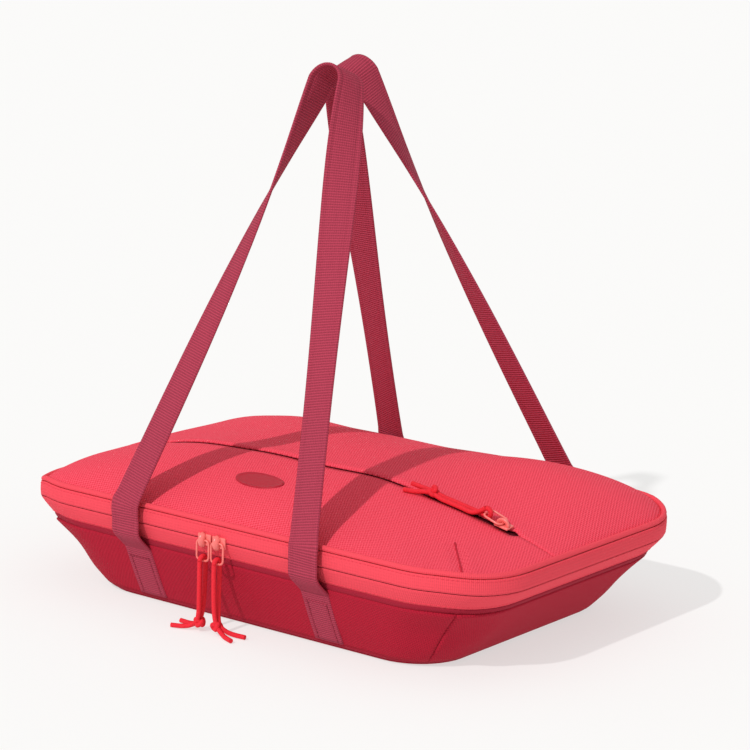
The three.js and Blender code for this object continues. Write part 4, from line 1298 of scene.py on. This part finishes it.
def slider_bridge(name, place, along):
    """An arched bridge that holds the wire, its arch square to the wire's bar."""
    line = []
    for angle in evenly(0, math.pi, BRIDGE_STEPS):
        reach = BRIDGE_FOOT - BRIDGE_RISE * math.sin(angle)
        line.append(Vector((0, reach, BRIDGE_HALF * math.cos(angle))))
    if along:
        line = [Vector((p.z, p.y, 0)) for p in line]
    piece = tube(name, line, BRIDGE_BAR, 12, flat=BRIDGE_FLAT)
    piece.matrix_world = place
    return piece


def millimetres(x, y, z):
    return Matrix.Translation(Vector((x, y, z)) * MM)


def add_slider(name, hand, place, nodes, along, wire_place):
    slider_body, puller_body = f"{hand}_slider", f"{hand}_puller"
    plate = round_box(f"{name}_plate", PLATE_SIZE, PLATE_EDGE, place @ millimetres(0, PLATE_OUT, 0))
    finish_piece(plate, PAINT, slider_body, [nodes[0]])
    finish_piece(slider_bridge(f"{name}_bridge", place, along), PAINT, slider_body)
    finish_piece(wire_loop(f"{name}_wire", wire_place), PAINT, puller_body, [nodes[1]])


def add_sliders():
    for hand, side in (("left", -1), ("right", 1)):
        place = millimetres(SLIDERS_MEET_X + side * SLIDER_X, SLIDER_FACE, ZIP_HEIGHT)
        wire = place @ millimetres(0, -WIRE_REACH, 0)
        nodes = (f"zip_slider_{hand}", f"zip_puller_{hand}")
        add_slider(f"zip_{hand}", hand, place, nodes, False, wire)
    along, inward, across = pocket_axes()
    axes = Matrix((along, inward, across)).transposed().to_4x4()
    place = Matrix.Translation(pocket_seat() * MM) @ axes
    turn = Matrix.Rotation(POCKET_TILT, 4, "Z") @ Matrix.Rotation(math.pi / 2, 4, "Y")
    wire = place @ millimetres(0, -WIRE_REACH, 0) @ turn
    nodes = ("pocket_slider", "pocket_puller")
    add_slider("pocket", "pocket", place, nodes, True, wire)


add_sliders()
for node in ("zip_end_stop_left", "zip_end_stop_right"):
    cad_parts[node].data.materials.clear()
    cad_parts[node].data.materials.append(PAINT)


# Stage
SKY_STRENGTH = 0.65
SUN_STRENGTH = 1.95
SUN_SPREAD = math.radians(1.5)
SUN_FROM = Vector((0, -1.1, 1))
FLOOR_REACH = 15000
FLOOR_HEIGHT = -0.2
FLOOR_COLOUR = (0.62, 0.618, 0.614)
FLOOR_GLOW = (1, 0.995, 0.985, 1)
FLOOR_GLOW_STRENGTH = 0.6


def add_stage():
    scene = bpy.context.scene
    scene.view_settings.view_transform = "Standard"
    world = bpy.data.worlds.new("World")
    scene.world = world
    world.use_nodes = True
    sky = world.node_tree.nodes["Background"]
    sky.inputs["Color"].default_value = (1, 1, 1, 1)
    sky.inputs["Strength"].default_value = SKY_STRENGTH
    sun = bpy.data.lights.new("Sun", "SUN")
    sun.energy = SUN_STRENGTH
    sun.angle = SUN_SPREAD
    lamp = new_object("Sun", sun)
    lamp.rotation_euler = SUN_FROM.to_track_quat("Z", "Y").to_euler()
    corners = ((-1, -1), (1, -1), (1, 1), (-1, 1))
    points = [(x * FLOOR_REACH, y * FLOOR_REACH, FLOOR_HEIGHT) for x, y in corners]
    floor = new_mesh("floor", points, [(0, 1, 2, 3)])
    paper, shader = new_material("floor", FLOOR_COLOUR, 1.0, 0.0)
    shader.inputs["Emission Color"].default_value = FLOOR_GLOW
    shader.inputs["Emission Strength"].default_value = FLOOR_GLOW_STRENGTH
    floor.data.materials.append(paper)


add_stage()
